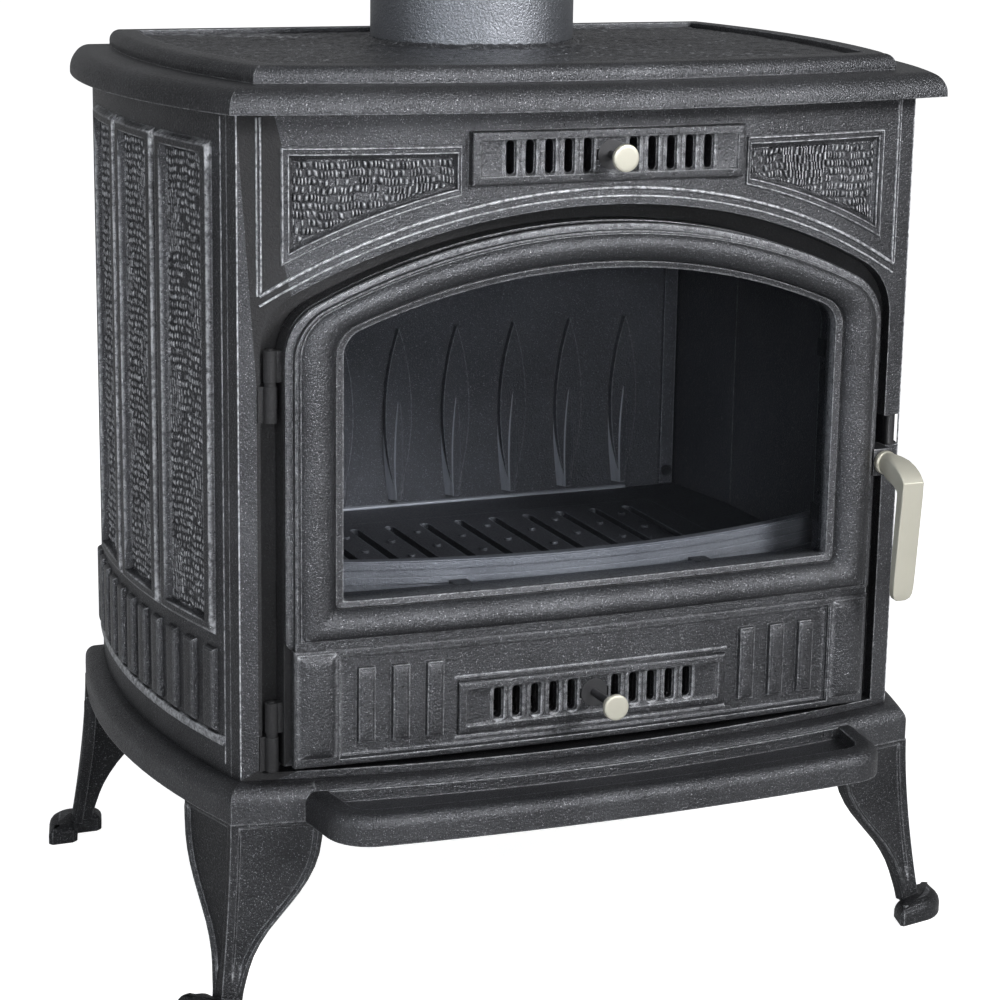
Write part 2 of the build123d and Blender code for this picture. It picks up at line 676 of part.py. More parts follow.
def make_front_plate():
    front = body_ring() & box(-HALF_REAR, HALF_REAR, FRONT_Y - 2 * FRONT_BOW, FRONT_Y + CORNER_RETURN,
                              BASE_TOP, BODY_TOP)
    tongue_ring = rise(body_inside() - body_inside(WALL), BASE_TOP, BODY_TOP)
    tongue = tongue_ring & box(-HALF_REAR, HALF_REAR, FRONT_Y - 2 * FRONT_BOW, FRONT_Y + 2 * CORNER_RETURN,
                               BASE_TOP, BODY_TOP)
    corners = tongue - box(-HALF_DOOR - DOOR_GAP, HALF_DOOR + DOOR_GAP, 2 * FRONT_Y, 0, 0, BODY_TOP)
    front = front + corners
    for side in (-1, 1):
        front -= through(spandrel(side), 2 * FRONT_Y, 0) & front_skin(-SPANDREL_DEPTH, 4 * WALL)
    # The rebate wall runs back to the flat landing that the door's rope seals on.
    wall_back = LANDING_Y + LANDING_THICKNESS
    wall = door_arch(DOOR_GAP + WALL) - rebate_arch()
    rim = through(wall & plate(-HALF_FRONT, HALF_FRONT, 0, BODY_HEIGHT), 2 * FRONT_Y, wall_back)
    front -= through(rebate_arch(), 2 * FRONT_Y, LANDING_Y)
    front += rim & rise(Pos(0, FRONT_CENTRE_Y) * Circle(FRONT_RADIUS), BASE_TOP, BODY_TOP)
    landing = rebate_arch() - door_arch(LANDING_INNER)
    landing += plate(-HALF_DOOR, HALF_DOOR, FIRE_FLOOR - CROSS_BAR, FIRE_FLOOR)
    front += through(landing, LANDING_Y, wall_back)
    # The upper air grille is a flat pad on the bowed face, with a flat back for its slider.
    pad = plate(-UPPER_PAD_WIDTH / 2, UPPER_PAD_WIDTH / 2, UPPER_PAD_BOTTOM, UPPER_PAD_TOP)
    inner = plate(-UPPER_PAD_WIDTH / 2 + PAD_BORDER, UPPER_PAD_WIDTH / 2 - PAD_BORDER,
                  UPPER_PAD_BOTTOM + PAD_BORDER - 1, UPPER_PAD_TOP - PAD_BORDER + 1)
    pad_front = FRONT_Y - UPPER_PAD_FRONT
    pad_back = FRONT_Y - UPPER_PAD_BACK
    front += through(pad, pad_front, pad_back)
    front -= through(inner, pad_front, pad_front + PAD_RECESS)
    front = cut_all(front, slot_row(UPPER_SLOT_BOTTOM, UPPER_SLOT_TOP), 2 * FRONT_Y, FRONT_Y)
    front -= through(stem_slot(UPPER_SLOT_BOTTOM, UPPER_SLOT_TOP), 2 * FRONT_Y, FRONT_Y)
    # Notch and pocket for the latch hook and its roller at the right edge.
    notch_half = NOTCH_HEIGHT / 2
    notch_left = HALF_DOOR + DOOR_GAP - 2
    front -= box(notch_left, HALF_MIDDLE, 2 * FRONT_Y, FRONT_Y + 3 * CORNER_RETURN,
                 NOTCH_Z - notch_half, NOTCH_Z + notch_half)
    front -= latch_pocket()
    front -= rod(ROLLER_X, ROLLER_Y, NOTCH_Z - notch_half - 8, NOTCH_Z + notch_half + 8,
                 ROLLER_PIN_RADIUS + THREAD_CLEARANCE)
    for level in hinge_levels():
        bottom = level - KNUCKLE_HEIGHT
        knuckle = rod(HINGE_X, HINGE_Y, bottom, level, KNUCKLE_RADIUS)
        web = box(HINGE_X - KNUCKLE_RADIUS - KNUCKLE_WEB, HINGE_X, HINGE_Y, LANDING_Y + 1, bottom, level)
        front += knuckle + web
        front -= rod(HINGE_X, HINGE_Y, bottom, level, HINGE_PIN_RADIUS + THREAD_CLEARANCE)
    return front


def latch_pocket():
    """Room behind the plate for the hook, from upright to turned behind its roller."""
    reach = HOOK_LENGTH + 3
    left = SPINDLE_X - HOOK_WIDTH / 2 + reach * math.cos(math.radians(HOOK_REST_ANGLE)) - 1
    right = SPINDLE_X + reach * math.cos(math.radians(HOOK_REST_ANGLE - HOOK_TURN)) + 1
    below = LATCH_NUT_RADIUS + 5
    return box(left, right, HOOK_FRONT_Y - 1.5, HOOK_FRONT_Y + 40, SPINDLE_Z - below, SPINDLE_Z + reach + 2)


def hinge_levels():
    return [BASE_TOP + UPPER_HINGE_HEIGHT, BASE_TOP + LOWER_HINGE_HEIGHT]


def stem_slot(bottom, top):
    width = SLIDE_TRAVEL + 2 * STEM_RADIUS + 2 * RUN_CLEARANCE
    height = 2 * STEM_RADIUS + 2 * RUN_CLEARANCE
    return Pos(SLIDE_TRAVEL / 2, BASE_TOP + (bottom + top) / 2) * SlotOverall(width, height)


def side_band(inner, outer, front, back, bottom, top):
    """Piece of the left side between two offsets of its outer face."""
    grown = offset(body_plan(), outer, kind=Kind.INTERSECTION) if outer else body_plan()
    ring = grown - offset(body_plan(), inner, kind=Kind.INTERSECTION)
    window = Pos(-HALF_MIDDLE, (front + back) / 2) * Rectangle(HALF_MIDDLE, back - front)
    return rise(ring & window, BASE_TOP + bottom, BASE_TOP + top)


def make_side_panel():
    front = FRONT_Y + CORNER_RETURN
    back = BACK_Y - CORNER_RETURN
    panel = side_band(-WALL, 0, front, back, 0, BODY_HEIGHT)
    for index in range(SIDE_PANEL_COUNT):
        start = FRONT_Y + SIDE_PANEL_FIRST + index * SIDE_PANEL_PITCH
        end = start + SIDE_PANEL_SPAN
        panel += side_band(-1, SIDE_FRAME_RISE, start, end, SIDE_PANEL_BOTTOM, SIDE_PANEL_TOP)
        panel -= side_band(-SIDE_PANEL_DEPTH, SIDE_FRAME_RISE + 1,
                           start + SIDE_FRAME_WIDTH, end - SIDE_FRAME_WIDTH,
                           SIDE_PANEL_BOTTOM + SIDE_FRAME_WIDTH, SIDE_PANEL_TOP - SIDE_FRAME_WIDTH)
        panel += weave_blocks(start + WEAVE_MARGIN, end - WEAVE_MARGIN)
    for index in range(FLUTE_COUNT):
        start = FRONT_Y + FLUTE_FIRST + index * FLUTE_PITCH - FLUTE_SPAN / 2
        panel += side_band(-1, FLUTE_RISE, start, start + FLUTE_SPAN, FLUTE_BOTTOM, FLUTE_TOP)
    for y in lug_places():
        inner = -side_x(y, WALL + 1)
        panel += box(inner, -SIDE_LINER_X, y - LUG_SIZE, y + LUG_SIZE,
                     floor_bottom() - LUG_SIZE, floor_bottom())
    return panel


def weave_blocks(front, back):
    """Blocks of a coarse basket weave, in rows that step from one side of the field to the other."""
    blocks = []
    bottom = SIDE_PANEL_BOTTOM + WEAVE_MARGIN
    top = SIDE_PANEL_TOP - WEAVE_MARGIN
    rows = int(2 * (top - bottom) / WEAVE_PITCH)
    height = (top - bottom) / rows
    for row in range(rows):
        start = front if row % 2 == 0 else back - WEAVE_BLOCK
        low = bottom + row * height
        blocks.append(side_band(-SIDE_PANEL_DEPTH - 1, -SIDE_PANEL_DEPTH + WEAVE_RISE,
                                start, start + WEAVE_BLOCK, low, low + height))
    return blocks


def lug_places():
    return [-BODY_DEPTH / 5, BODY_DEPTH / 5]


def floor_bottom():
    return FLOOR_Z - FIRE_FLOOR_THICKNESS


def baffle_bottom():
    return FLOOR_Z + LINER_HEIGHT


def make_back_plate():
    back = body_ring() & box(-HALF_MIDDLE, HALF_MIDDLE, BACK_Y - CORNER_RETURN, BACK_Y, BASE_TOP, BODY_TOP)
    inside = rise(body_inside() - body_inside(WALL), BASE_TOP, BODY_TOP)
    tongues = inside & box(-HALF_MIDDLE, HALF_MIDDLE, BACK_Y - 2 * CORNER_RETURN, BACK_Y - WALL - 1,
                           BASE_TOP, BODY_TOP)
    liner_half = SIDE_LINER_X + LINER_THICKNESS
    back += tongues - box(-liner_half, liner_half, 0, BACK_Y - WALL, 0, BODY_TOP)
    for x, z in shield_places():
        back -= rod_y(x, z, BACK_Y - WALL, BACK_Y, SCREW_RADIUS + THREAD_CLEARANCE)
    return back


def shield_places():
    for side in (-1, 1):
        for z in (BASE_TOP + 60, BASE_TOP + SHIELD_HEIGHT - 20):
            yield side * (SHIELD_WIDTH / 2 - 30), z


def make_shield():
    front = BACK_Y + SHIELD_GAP
    bottom = BASE_TOP + SHIELD_LIFT
    sheet = box(-SHIELD_WIDTH / 2, SHIELD_WIDTH / 2, front, front + SHIELD_THICKNESS,
                bottom, bottom + SHIELD_HEIGHT)
    for x, z in shield_places():
        sheet -= rod_y(x, z, front, front + SHIELD_THICKNESS, SCREW_RADIUS + THREAD_CLEARANCE)
    return sheet


def make_shield_spacers():
    pieces = []
    for x, z in shield_places():
        spacer = rod_y(x, z, BACK_Y, BACK_Y + SHIELD_GAP, SPACER_RADIUS)
        pieces.append(spacer - rod_y(x, z, BACK_Y, BACK_Y + SHIELD_GAP, SCREW_RADIUS + THREAD_CLEARANCE))
    return group(pieces)


def make_shield_screws():
    outer = BACK_Y + SHIELD_GAP + SHIELD_THICKNESS
    pieces = []
    for x, z in shield_places():
        shank = rod_y(x, z, BACK_Y - WALL + 1, outer, SCREW_RADIUS)
        pieces.append(shank + hexagon_y(x, z, outer, outer + SCREW_HEAD_HEIGHT, SCREW_HEAD))
    return group(pieces)


# ---------- top plate and flue ----------
def top_outline():
    return plan(
        HALF_FRONT + TOP_CORNER_OVERHANG,
        HALF_MIDDLE + TOP_SIDE_OVERHANG,
        HALF_REAR + TOP_CORNER_OVERHANG,
        FRONT_Y - TOP_FRONT_OVERHANG,
        BACK_Y + TOP_REAR_OVERHANG,
        FRONT_BOW,
    )


def tier_outline():
    return plan(
        HALF_FRONT + TOP_CORNER_OVERHANG - TIER_STEP_CORNER,
        HALF_MIDDLE + TOP_SIDE_OVERHANG - TIER_STEP_SIDE,
        HALF_REAR + TOP_CORNER_OVERHANG - TIER_STEP_CORNER,
        FRONT_Y - TOP_FRONT_OVERHANG + TIER_STEP_FRONT,
        BACK_Y + TOP_REAR_OVERHANG - TIER_STEP_REAR,
        FRONT_BOW,
    )


def collar_bolt_places():
    radius = FLUE_BORE_RADIUS + FLUE_WALL + FLUE_FLANGE_WIDTH / 2
    for turn in (30, 150, 270):
        yield radius * math.cos(math.radians(turn)), FLUE_Y + radius * math.sin(math.radians(turn))


def make_top_plate():
    lower = rise(top_outline(), BODY_TOP, TIER_TOP)
    lower = fillet(lower.faces().sort_by(Axis.Z)[-1].edges(), TOP_LOWER_TIER - 2)
    upper = rise(tier_outline(), TIER_TOP - 1, STOVE_TOP)
    upper = fillet(upper.faces().sort_by(Axis.Z)[-1].edges(), TOP_UPPER_TIER - 3)
    top = lower + upper
    top -= rise(offset(tier_outline(), -TOP_FIELD_BORDER), STOVE_TOP - TOP_FIELD_DEPTH, STOVE_TOP)
    top -= rise(offset(body_plan(), -RIM), BODY_TOP, TOP_UNDERSIDE)
    for x, y in rod_places():
        top += rod(x, y, BODY_TOP + 2, TOP_UNDERSIDE, ROD_BOSS_RADIUS)
        top -= rod(x, y, BODY_TOP, TOP_UNDERSIDE - 2, ROD_RADIUS + THREAD_CLEARANCE)
    top -= rod(0, FLUE_Y, BODY_TOP, STOVE_TOP, FLUE_BORE_RADIUS + FLUE_WALL + THREAD_CLEARANCE)
    for x, y in collar_bolt_places():
        top -= rod(x, y, TOP_UNDERSIDE, TOP_UNDERSIDE + TOP_SKIN - 2, LEG_BOLT_RADIUS + THREAD_CLEARANCE)
    return top


def make_flue_collar():
    outer = FLUE_BORE_RADIUS + FLUE_WALL
    bottom = TOP_UNDERSIDE - FLUE_FLANGE_THICKNESS
    collar = rod(0, FLUE_Y, bottom, STOVE_TOP + FLUE_HEIGHT, outer)
    collar += rod(0, FLUE_Y, bottom, TOP_UNDERSIDE, outer + FLUE_FLANGE_WIDTH)
    collar -= rod(0, FLUE_Y, TOP_UNDERSIDE, STOVE_TOP + FLUE_HEIGHT, FLUE_BORE_RADIUS)
    collar -= rod(0, FLUE_Y, bottom, TOP_UNDERSIDE, FLUE_BORE_RADIUS - FLUE_STOP_LIP)
    for x, y in collar_bolt_places():
        collar -= rod(x, y, bottom, TOP_UNDERSIDE, LEG_BOLT_RADIUS + THREAD_CLEARANCE)
    return collar


def make_collar_bolts():
    bottom = TOP_UNDERSIDE - FLUE_FLANGE_THICKNESS
    bolts = []
    for x, y in collar_bolt_places():
        shank = rod(x, y, bottom, TOP_UNDERSIDE + TOP_SKIN - 3, LEG_BOLT_RADIUS)
        bolts.append(shank + hexagon_z(x, y, bottom - 5, bottom, LEG_BOLT_HEAD))
    return group(bolts)


def make_tie_rods():
    bottom = BASE_TOP - BASE_FLOOR - NUT_HEIGHT - 2
    return group(rod(x, y, bottom, TOP_UNDERSIDE - 3, ROD_RADIUS) for x, y in rod_places())


def make_tie_nuts():
    nut_top = BASE_TOP - BASE_FLOOR
    nuts = []
    for x, y in rod_places():
        nut = hexagon_z(x, y, nut_top - NUT_HEIGHT, nut_top, NUT_RADIUS)
        nuts.append(nut - rod(x, y, nut_top - NUT_HEIGHT, nut_top, ROD_RADIUS + THREAD_CLEARANCE))
    return group(nuts)


# ---------- air sliders ----------
def make_slider(bottom, top, front):
    """Slotted plate behind a grille: open at rest, closed after its travel."""
    face = plate(-SLIDER_HALF, SLIDER_HALF, bottom - 5, top + 5)
    slider = through(face, front, front + SLIDER_THICKNESS)
    slider = cut_all(slider, slot_row(bottom, top), front - 1, front + SLIDER_THICKNESS + 1)
    middle = BASE_TOP + (bottom + top) / 2
    return slider - rod_y(0, middle, front, front + SLIDER_THICKNESS, STEM_RADIUS + THREAD_CLEARANCE)


def make_guides(bottom, top, front):
    """Two angle strips that hold a slider against the back of its grille."""
    gap = SLIDER_THICKNESS + 2 * RUN_CLEARANCE
    half = SLIDER_HALF + SLIDE_TRAVEL + 4
    strips = []
    for edge, way in ((top + 5, 1), (bottom - 5, -1)):
        near = edge + way * RUN_CLEARANCE
        web = sorted((near, near + way * GUIDE_HEIGHT))
        lip = sorted((near - way * GUIDE_LIP, near + way * GUIDE_HEIGHT))
        strip = through(plate(-half, half, *web), front, front + gap)
        strips.append(strip + through(plate(-half, half, *lip), front + gap, front + gap + 2))
    return group(strips)


def make_washer(bottom, top, seat):
    middle = BASE_TOP + (bottom + top) / 2
    washer = rod_y(0, middle, seat - WASHER_THICKNESS, seat, WASHER_RADIUS)
    return washer - rod_y(0, middle, seat - WASHER_THICKNESS, seat, STEM_RADIUS + THREAD_CLEARANCE)


def make_stem(bottom, top, knob_front, slider_front):
    middle = BASE_TOP + (bottom + top) / 2
    start = FRONT_Y - knob_front + KNOB_LENGTH / 2
    return rod_y(0, middle, start, slider_front + SLIDER_THICKNESS, STEM_RADIUS)


def make_knob(bottom, top, knob_front):
    middle = BASE_TOP + (bottom + top) / 2
    front = FRONT_Y - knob_front
    knob = rod_y(0, middle, front, front + KNOB_LENGTH, KNOB_RADIUS)
    knob = fillet(knob.faces().sort_by(Axis.Y)[0].edges(), 1.5)
    bore = STEM_RADIUS + THREAD_CLEARANCE
    return knob - rod_y(0, middle, front + KNOB_LENGTH / 2, front + KNOB_LENGTH, bore)


def upper_slider_front():
    return FRONT_Y - UPPER_PAD_BACK + RUN_CLEARANCE


def lower_pad_front():
    return DOOR_CREST_Y + BAND_PAD_RECESS


def band_back():
    return lower_pad_front() + BAND_SKIN


def lower_slider_front():
    return band_back() + RUN_CLEARANCE


# ---------- door ----------
def band_cavity():
    """Hollow behind the band: it follows the bowed face, with a flat seat for the slider."""
    half = BAND_WIDTH / 2 - CAVITY_MARGIN
    top = GLASS_OPENING_BOTTOM - GLASS_OVERLAP - 4 * CAVITY_MARGIN
    bottom = BAND_BOTTOM + CAVITY_MARGIN
    mouth_bottom = DOOR_BOTTOM - ROPE_INNER + 2
    behind_rope = DOOR_BACK_Y - ROPE_DEPTH - 2
    seat_half = SLIDER_HALF + SLIDE_TRAVEL + 6
    chamber = through(plate(-half, half, bottom, top), 2 * FRONT_Y, behind_rope)
    chamber &= door_slab(-BAND_RECESS - BAND_SKIN, behind_rope)
    seat = through(plate(-seat_half, seat_half, bottom, top), band_back(), behind_rope)
    mouth = through(plate(-half, half, mouth_bottom, top), behind_rope - 1, 0)
    return chamber + seat + mouth


def make_door_frame():
    flange = through(door_arch(0), FRONT_Y - FLANGE_FRONT, DOOR_BACK_Y)
    face = through(door_arch(-FLANGE_LIP), 2 * FRONT_Y, DOOR_BACK_Y) & door_slab(0, DOOR_BACK_Y)
    door = flange + face
    # A broad roll goes round the glass, in steps, with a lower band inside it.
    for spread, raised in MOULDING_STEPS:
        ring = moulding_arch(MOULDING_CREST + spread) - moulding_arch(MOULDING_CREST - spread)
        door += through(ring, 2 * FRONT_Y, GLASS_SEAT_Y) & door_slab(raised, GLASS_SEAT_Y)
    band_space = through(moulding_arch(INNER_BAND), 2 * FRONT_Y, GLASS_SEAT_Y)
    door -= band_space - door_slab(-INNER_BAND_DEPTH, GLASS_SEAT_Y + 1, 1)
    door -= through(glass_arch(0), 2 * FRONT_Y, 0)
    door -= through(glass_arch(GLASS_OVERLAP), GLASS_SEAT_Y, 0)
    # Lower band: a shallow recess with flutes and a flat air grille, hollow behind.
    band = plate(-BAND_WIDTH / 2, BAND_WIDTH / 2, BAND_BOTTOM, BAND_TOP)
    recess = through(band, 2 * FRONT_Y, DOOR_BACK_Y) - door_slab(-BAND_RECESS, DOOR_BACK_Y + 1, 1)
    door -= recess
    for side in (-1, 1):
        for index in range(BAND_FLUTE_COUNT):
            place = side * (BAND_FLUTE_FIRST + index * BAND_FLUTE_PITCH)
            flute = plate(place - BAND_FLUTE_WIDTH / 2, place + BAND_FLUTE_WIDTH / 2,
                          BAND_BOTTOM + BAND_FLUTE_MARGIN, BAND_TOP - BAND_FLUTE_MARGIN)
            door += through(flute, 2 * FRONT_Y, DOOR_BACK_Y - 20) & door_slab(0, DOOR_BACK_Y - 20)
    door -= band_cavity()
    pad = plate(-LOWER_PAD_WIDTH / 2, LOWER_PAD_WIDTH / 2, LOWER_PAD_BOTTOM, LOWER_PAD_TOP)
    inner = plate(-LOWER_PAD_WIDTH / 2 + PAD_BORDER, LOWER_PAD_WIDTH / 2 - PAD_BORDER,
                  LOWER_PAD_BOTTOM + PAD_BORDER, LOWER_PAD_TOP - PAD_BORDER)
    door += through(pad, lower_pad_front(), band_back())
    door -= through(inner, lower_pad_front(), lower_pad_front() + PAD_RECESS)
    door = cut_all(door, slot_row(LOWER_SLOT_BOTTOM, LOWER_SLOT_TOP), 2 * FRONT_Y, band_back())
    door -= through(stem_slot(LOWER_SLOT_BOTTOM, LOWER_SLOT_TOP), 2 * FRONT_Y, band_back())
    # Rope groove round the back, knuckles, and the lug that carries the latch spindle.
    door -= through(rope_ring(0), DOOR_BACK_Y - ROPE_DEPTH, DOOR_BACK_Y)
    for level in hinge_levels():
        bottom = level + HINGE_COLLAR_HEIGHT + SEAT_CLEARANCE
        top = level + KNUCKLE_HEIGHT
        knuckle = rod(HINGE_X, HINGE_Y, bottom, top, KNUCKLE_RADIUS)
        web = box(HINGE_X, -HALF_DOOR + 2, HINGE_Y - 3, HINGE_Y + 4, bottom, top)
        door += knuckle + web
        door -= rod(HINGE_X, HINGE_Y, bottom, top, HINGE_PIN_RADIUS + PIN_CLEARANCE)
    lug_half = HUB_RADIUS + 2
    lug = box(HALF_DOOR - 3, SPINDLE_X + HUB_RADIUS - 2, lug_front(), DOOR_BACK_Y,
              SPINDLE_Z - lug_half, SPINDLE_Z + lug_half)
    door += lug
    door -= rod_y(SPINDLE_X, SPINDLE_Z, 2 * FRONT_Y, 0, SPINDLE_RADIUS + PIN_CLEARANCE)
    for x, z, _, _ in glass_clip_places():
        door -= rod_y(x, z, DOOR_BACK_Y - CLIP_SCREW_LENGTH, DOOR_BACK_Y, SCREW_RADIUS + THREAD_CLEARANCE)
    return door


def lug_front():
    return FRONT_Y - LATCH_LUG_REACH


def rope_ring(shrink):
    return door_arch(ROPE_OUTER - shrink) - door_arch(ROPE_INNER + shrink)


def make_door_rope():
    return through(rope_ring(0.1), DOOR_BACK_Y - ROPE_DEPTH + SEAT_CLEARANCE, LANDING_Y - SEAT_CLEARANCE)


def make_glass_rope():
    ring = glass_arch(GLASS_OVERLAP - 0.5) - glass_arch(1)
    return through(ring, GLASS_SEAT_Y, GLASS_FRONT_Y)


def make_door_glass():
    return through(glass_arch(GLASS_OVERLAP - 1), GLASS_FRONT_Y, GLASS_FRONT_Y + GLASS_THICKNESS)


def glass_clip_places():
    """Six clips, each with the way in to the glass: two at each side and two below."""
    out = GLASS_OVERLAP + CLIP_SCREW_INSET
    for side in (-1, 1):
        x = side * (GLASS_OPENING_WIDTH / 2 + out)
        yield x, BASE_TOP + GLASS_OPENING_BOTTOM + CLIP_END_INSET, -side, 0
        yield x, BASE_TOP + GLASS_OPENING_BOTTOM + CLIP_END_INSET + CLIP_SPACING, -side, 0
        yield side * GLASS_OPENING_WIDTH / 4, BASE_TOP + GLASS_OPENING_BOTTOM - out, 0, 1


def clip_block(x, z, way_x, way_z, near, far, half, front, back):
    """Block that runs from a clip's screw towards the glass, between two distances."""
    ends_x = sorted((x + way_x * near, x + way_x * far)) if way_x else (x - half, x + half)
    ends_z = sorted((z + way_z * near, z + way_z * far)) if way_z else (z - half, z + half)
    return box(*ends_x, front, back, *ends_z)


def glass_back():
    return GLASS_FRONT_Y + GLASS_THICKNESS


def make_glass_clips():
    clips = []
    tab_back = DOOR_BACK_Y + CLIP_TAB
    for x, z, way_x, way_z in glass_clip_places():
        tab = clip_block(x, z, way_x, way_z, -CLIP_TAIL, CLIP_REACH, CLIP_HALF, DOOR_BACK_Y, tab_back)
        foot = clip_block(x, z, way_x, way_z, CLIP_SCREW_INSET + 2, CLIP_REACH, CLIP_HALF,
                          glass_back(), tab_back)
        hole = rod_y(x, z, DOOR_BACK_Y, tab_back, SCREW_RADIUS + THREAD_CLEARANCE)
        clips.append(tab + foot - hole)
    return group(clips)


def make_glass_clip_screws():
    screws = []
    tab_back = DOOR_BACK_Y + CLIP_TAB
    for x, z, _, _ in glass_clip_places():
        shank = rod_y(x, z, DOOR_BACK_Y - CLIP_SCREW_LENGTH + 1, tab_back, SCREW_RADIUS)
        screws.append(shank + rod_y(x, z, tab_back, tab_back + 1.5, SCREW_HEAD))
    return group(screws)


def make_hinge_pins():
    pins = []
    for level in hinge_levels():
        top = level + KNUCKLE_HEIGHT + 1
        shank = rod(HINGE_X, HINGE_Y, level - KNUCKLE_HEIGHT, top, HINGE_PIN_RADIUS)
        collar = rod(HINGE_X, HINGE_Y, level, level + HINGE_COLLAR_HEIGHT, HINGE_COLLAR_RADIUS)
        pins.append(shank + collar)
    return group(pins)


# ---------- handle and latch ----------
def make_spindle():
    front = lug_front() - HUB_LENGTH
    back = HOOK_FRONT_Y + HOOK_THICKNESS + LATCH_NUT_LENGTH
    return rod_y(SPINDLE_X, SPINDLE_Z, front, back, SPINDLE_RADIUS)


def make_handle():
    """Arm that comes forward from the spindle, and the flat grip that hangs from it."""
    grip_front = FRONT_Y - GRIP_FRONT
    grip_back = grip_front + GRIP_THICKNESS
    hub_back = lug_front() - RUN_CLEARANCE
    hub = rod_y(SPINDLE_X, SPINDLE_Z, hub_back - HUB_LENGTH, hub_back, HUB_RADIUS)
    arm_outline = make_face(
        Polyline(
            (hub_back - HUB_LENGTH + 1, SPINDLE_Z - 7),
            (hub_back - HUB_LENGTH + 1, SPINDLE_Z + 7),
            (grip_back - 1, SPINDLE_Z + GRIP_RISE),
            (grip_back - 1, SPINDLE_Z - 4),
            close=True,
        )
    )
    arm = across(arm_outline, SPINDLE_X - ARM_THICKNESS / 2, SPINDLE_X + ARM_THICKNESS / 2)
    top = SPINDLE_Z + GRIP_RISE
    middle = top - GRIP_LENGTH / 2
    face = Pos(SPINDLE_X, middle) * RectangleRounded(GRIP_WIDTH, GRIP_LENGTH, GRIP_WIDTH * 0.3)
    grip = fillet(through(face, grip_front, grip_back).faces().sort_by(Axis.Y)[0].edges(), 2)
    handle = hub + arm + grip
    return handle - rod_y(SPINDLE_X, SPINDLE_Z, hub_back - HUB_LENGTH, hub_back, SPINDLE_RADIUS)


def make_latch_hook():
    """Blade on the inner end of the spindle that turns behind the roller."""
    blade = SlotCenterPoint((HOOK_LENGTH / 2 - 3, 0), (0, 0), HOOK_WIDTH)
    turned = Pos(SPINDLE_X, SPINDLE_Z) * Rot(0, 0, HOOK_REST_ANGLE) * blade
    hook = through(turned, HOOK_FRONT_Y, HOOK_FRONT_Y + HOOK_THICKNESS)
    return hook - rod_y(SPINDLE_X, SPINDLE_Z, HOOK_FRONT_Y, HOOK_FRONT_Y + HOOK_THICKNESS, SPINDLE_RADIUS)


def make_spindle_nut():
    front = HOOK_FRONT_Y + HOOK_THICKNESS
    nut = hexagon_y(SPINDLE_X, SPINDLE_Z, front, front + LATCH_NUT_LENGTH, LATCH_NUT_RADIUS)
    return nut - rod_y(SPINDLE_X, SPINDLE_Z, front, front + LATCH_NUT_LENGTH, SPINDLE_RADIUS)


def make_latch_roller():
    half = NOTCH_HEIGHT / 2 - SEAT_CLEARANCE
    roller = rod(ROLLER_X, ROLLER_Y, NOTCH_Z - half, NOTCH_Z + half, ROLLER_RADIUS)
    bore = ROLLER_PIN_RADIUS + PIN_CLEARANCE
    return roller - rod(ROLLER_X, ROLLER_Y, NOTCH_Z - half, NOTCH_Z + half, bore)


def make_latch_pin():
    half = NOTCH_HEIGHT / 2 + 7
    return rod(ROLLER_X, ROLLER_Y, NOTCH_Z - half, NOTCH_Z + half, ROLLER_PIN_RADIUS)


# ---------- firebox ----------
def fire_plan():
    return body_inside(WALL + 2 * SEAT_CLEARANCE)


def floor_window():
    front = LANDING_Y + LANDING_THICKNESS + SEAT_CLEARANCE
    back = BACK_Y - WALL - SEAT_CLEARANCE
    return Pos(0, (front + back) / 2) * Rectangle(2 * (SIDE_LINER_X + LINER_THICKNESS + 4), back - front)


def make_fire_floor():
    floor = rise(fire_plan() & floor_window(), floor_bottom(), FLOOR_Z)
    hole = Pos(0, GRATE_CENTRE_Y) * Rectangle(GRATE_WIDTH - 2 * GRATE_LEDGE, GRATE_DEPTH - 2 * GRATE_LEDGE)
    seat = Pos(0, GRATE_CENTRE_Y) * Rectangle(GRATE_WIDTH + 1, GRATE_DEPTH + 1)
    floor -= rise(hole, floor_bottom(), FLOOR_Z)
    floor -= rise(seat, FLOOR_Z - FIRE_FLOOR_THICKNESS / 2, FLOOR_Z)
    for x, y in rod_places():
        floor -= rod(x, y, floor_bottom(), FLOOR_Z, ROD_RADIUS + 2)
    return floor


def make_grate():
    """Grate with long slots from front to back, and small studs on the bars between them."""
    bottom = FLOOR_Z - FIRE_FLOOR_THICKNESS / 2
    top = bottom + GRATE_THICKNESS
    grate = rise(Pos(0, GRATE_CENTRE_Y) * Rectangle(GRATE_WIDTH, GRATE_DEPTH), bottom, top)
    slots = int((GRATE_WIDTH - 2 * GRATE_LEDGE) / GRATE_PITCH)
    slot_length = GRATE_DEPTH - 4 * GRATE_LEDGE
    for index in range(slots):
        x = (index - (slots - 1) / 2) * GRATE_PITCH
        slot = Pos(x, GRATE_CENTRE_Y) * SlotOverall(slot_length, GRATE_SLOT, rotation=90)
        grate -= rise(slot, bottom, top)
    for index in range(slots - 1):
        x = (index - (slots - 2) / 2) * GRATE_PITCH
        stagger = STUD_SPACING / 4 if index % 2 else -STUD_SPACING / 4
        for row in (-1, 0, 1):
            y = GRATE_CENTRE_Y + stagger + row * STUD_SPACING
            grate += rod(x, y, top - 1, top + STUD_RISE, STUD_RADIUS)
    return grate


def leaf(x, y_face, base_z):
    """Leaf-shaped rib: pointed at both ends, raised from the liner's face."""
    half = RIB_WIDTH / 2
    middle = base_z + RIB_LENGTH / 2
    outline = make_face(
        [
            ThreePointArc((x, base_z), (x + half, middle), (x, base_z + RIB_LENGTH)),
            ThreePointArc((x, base_z + RIB_LENGTH), (x - half, middle), (x, base_z)),
        ]
    )
    return through(outline, y_face - RIB_RISE, y_face + 1)


def back_liner_front():
    return BACK_Y - WALL - BACK_LINER_GAP - LINER_THICKNESS


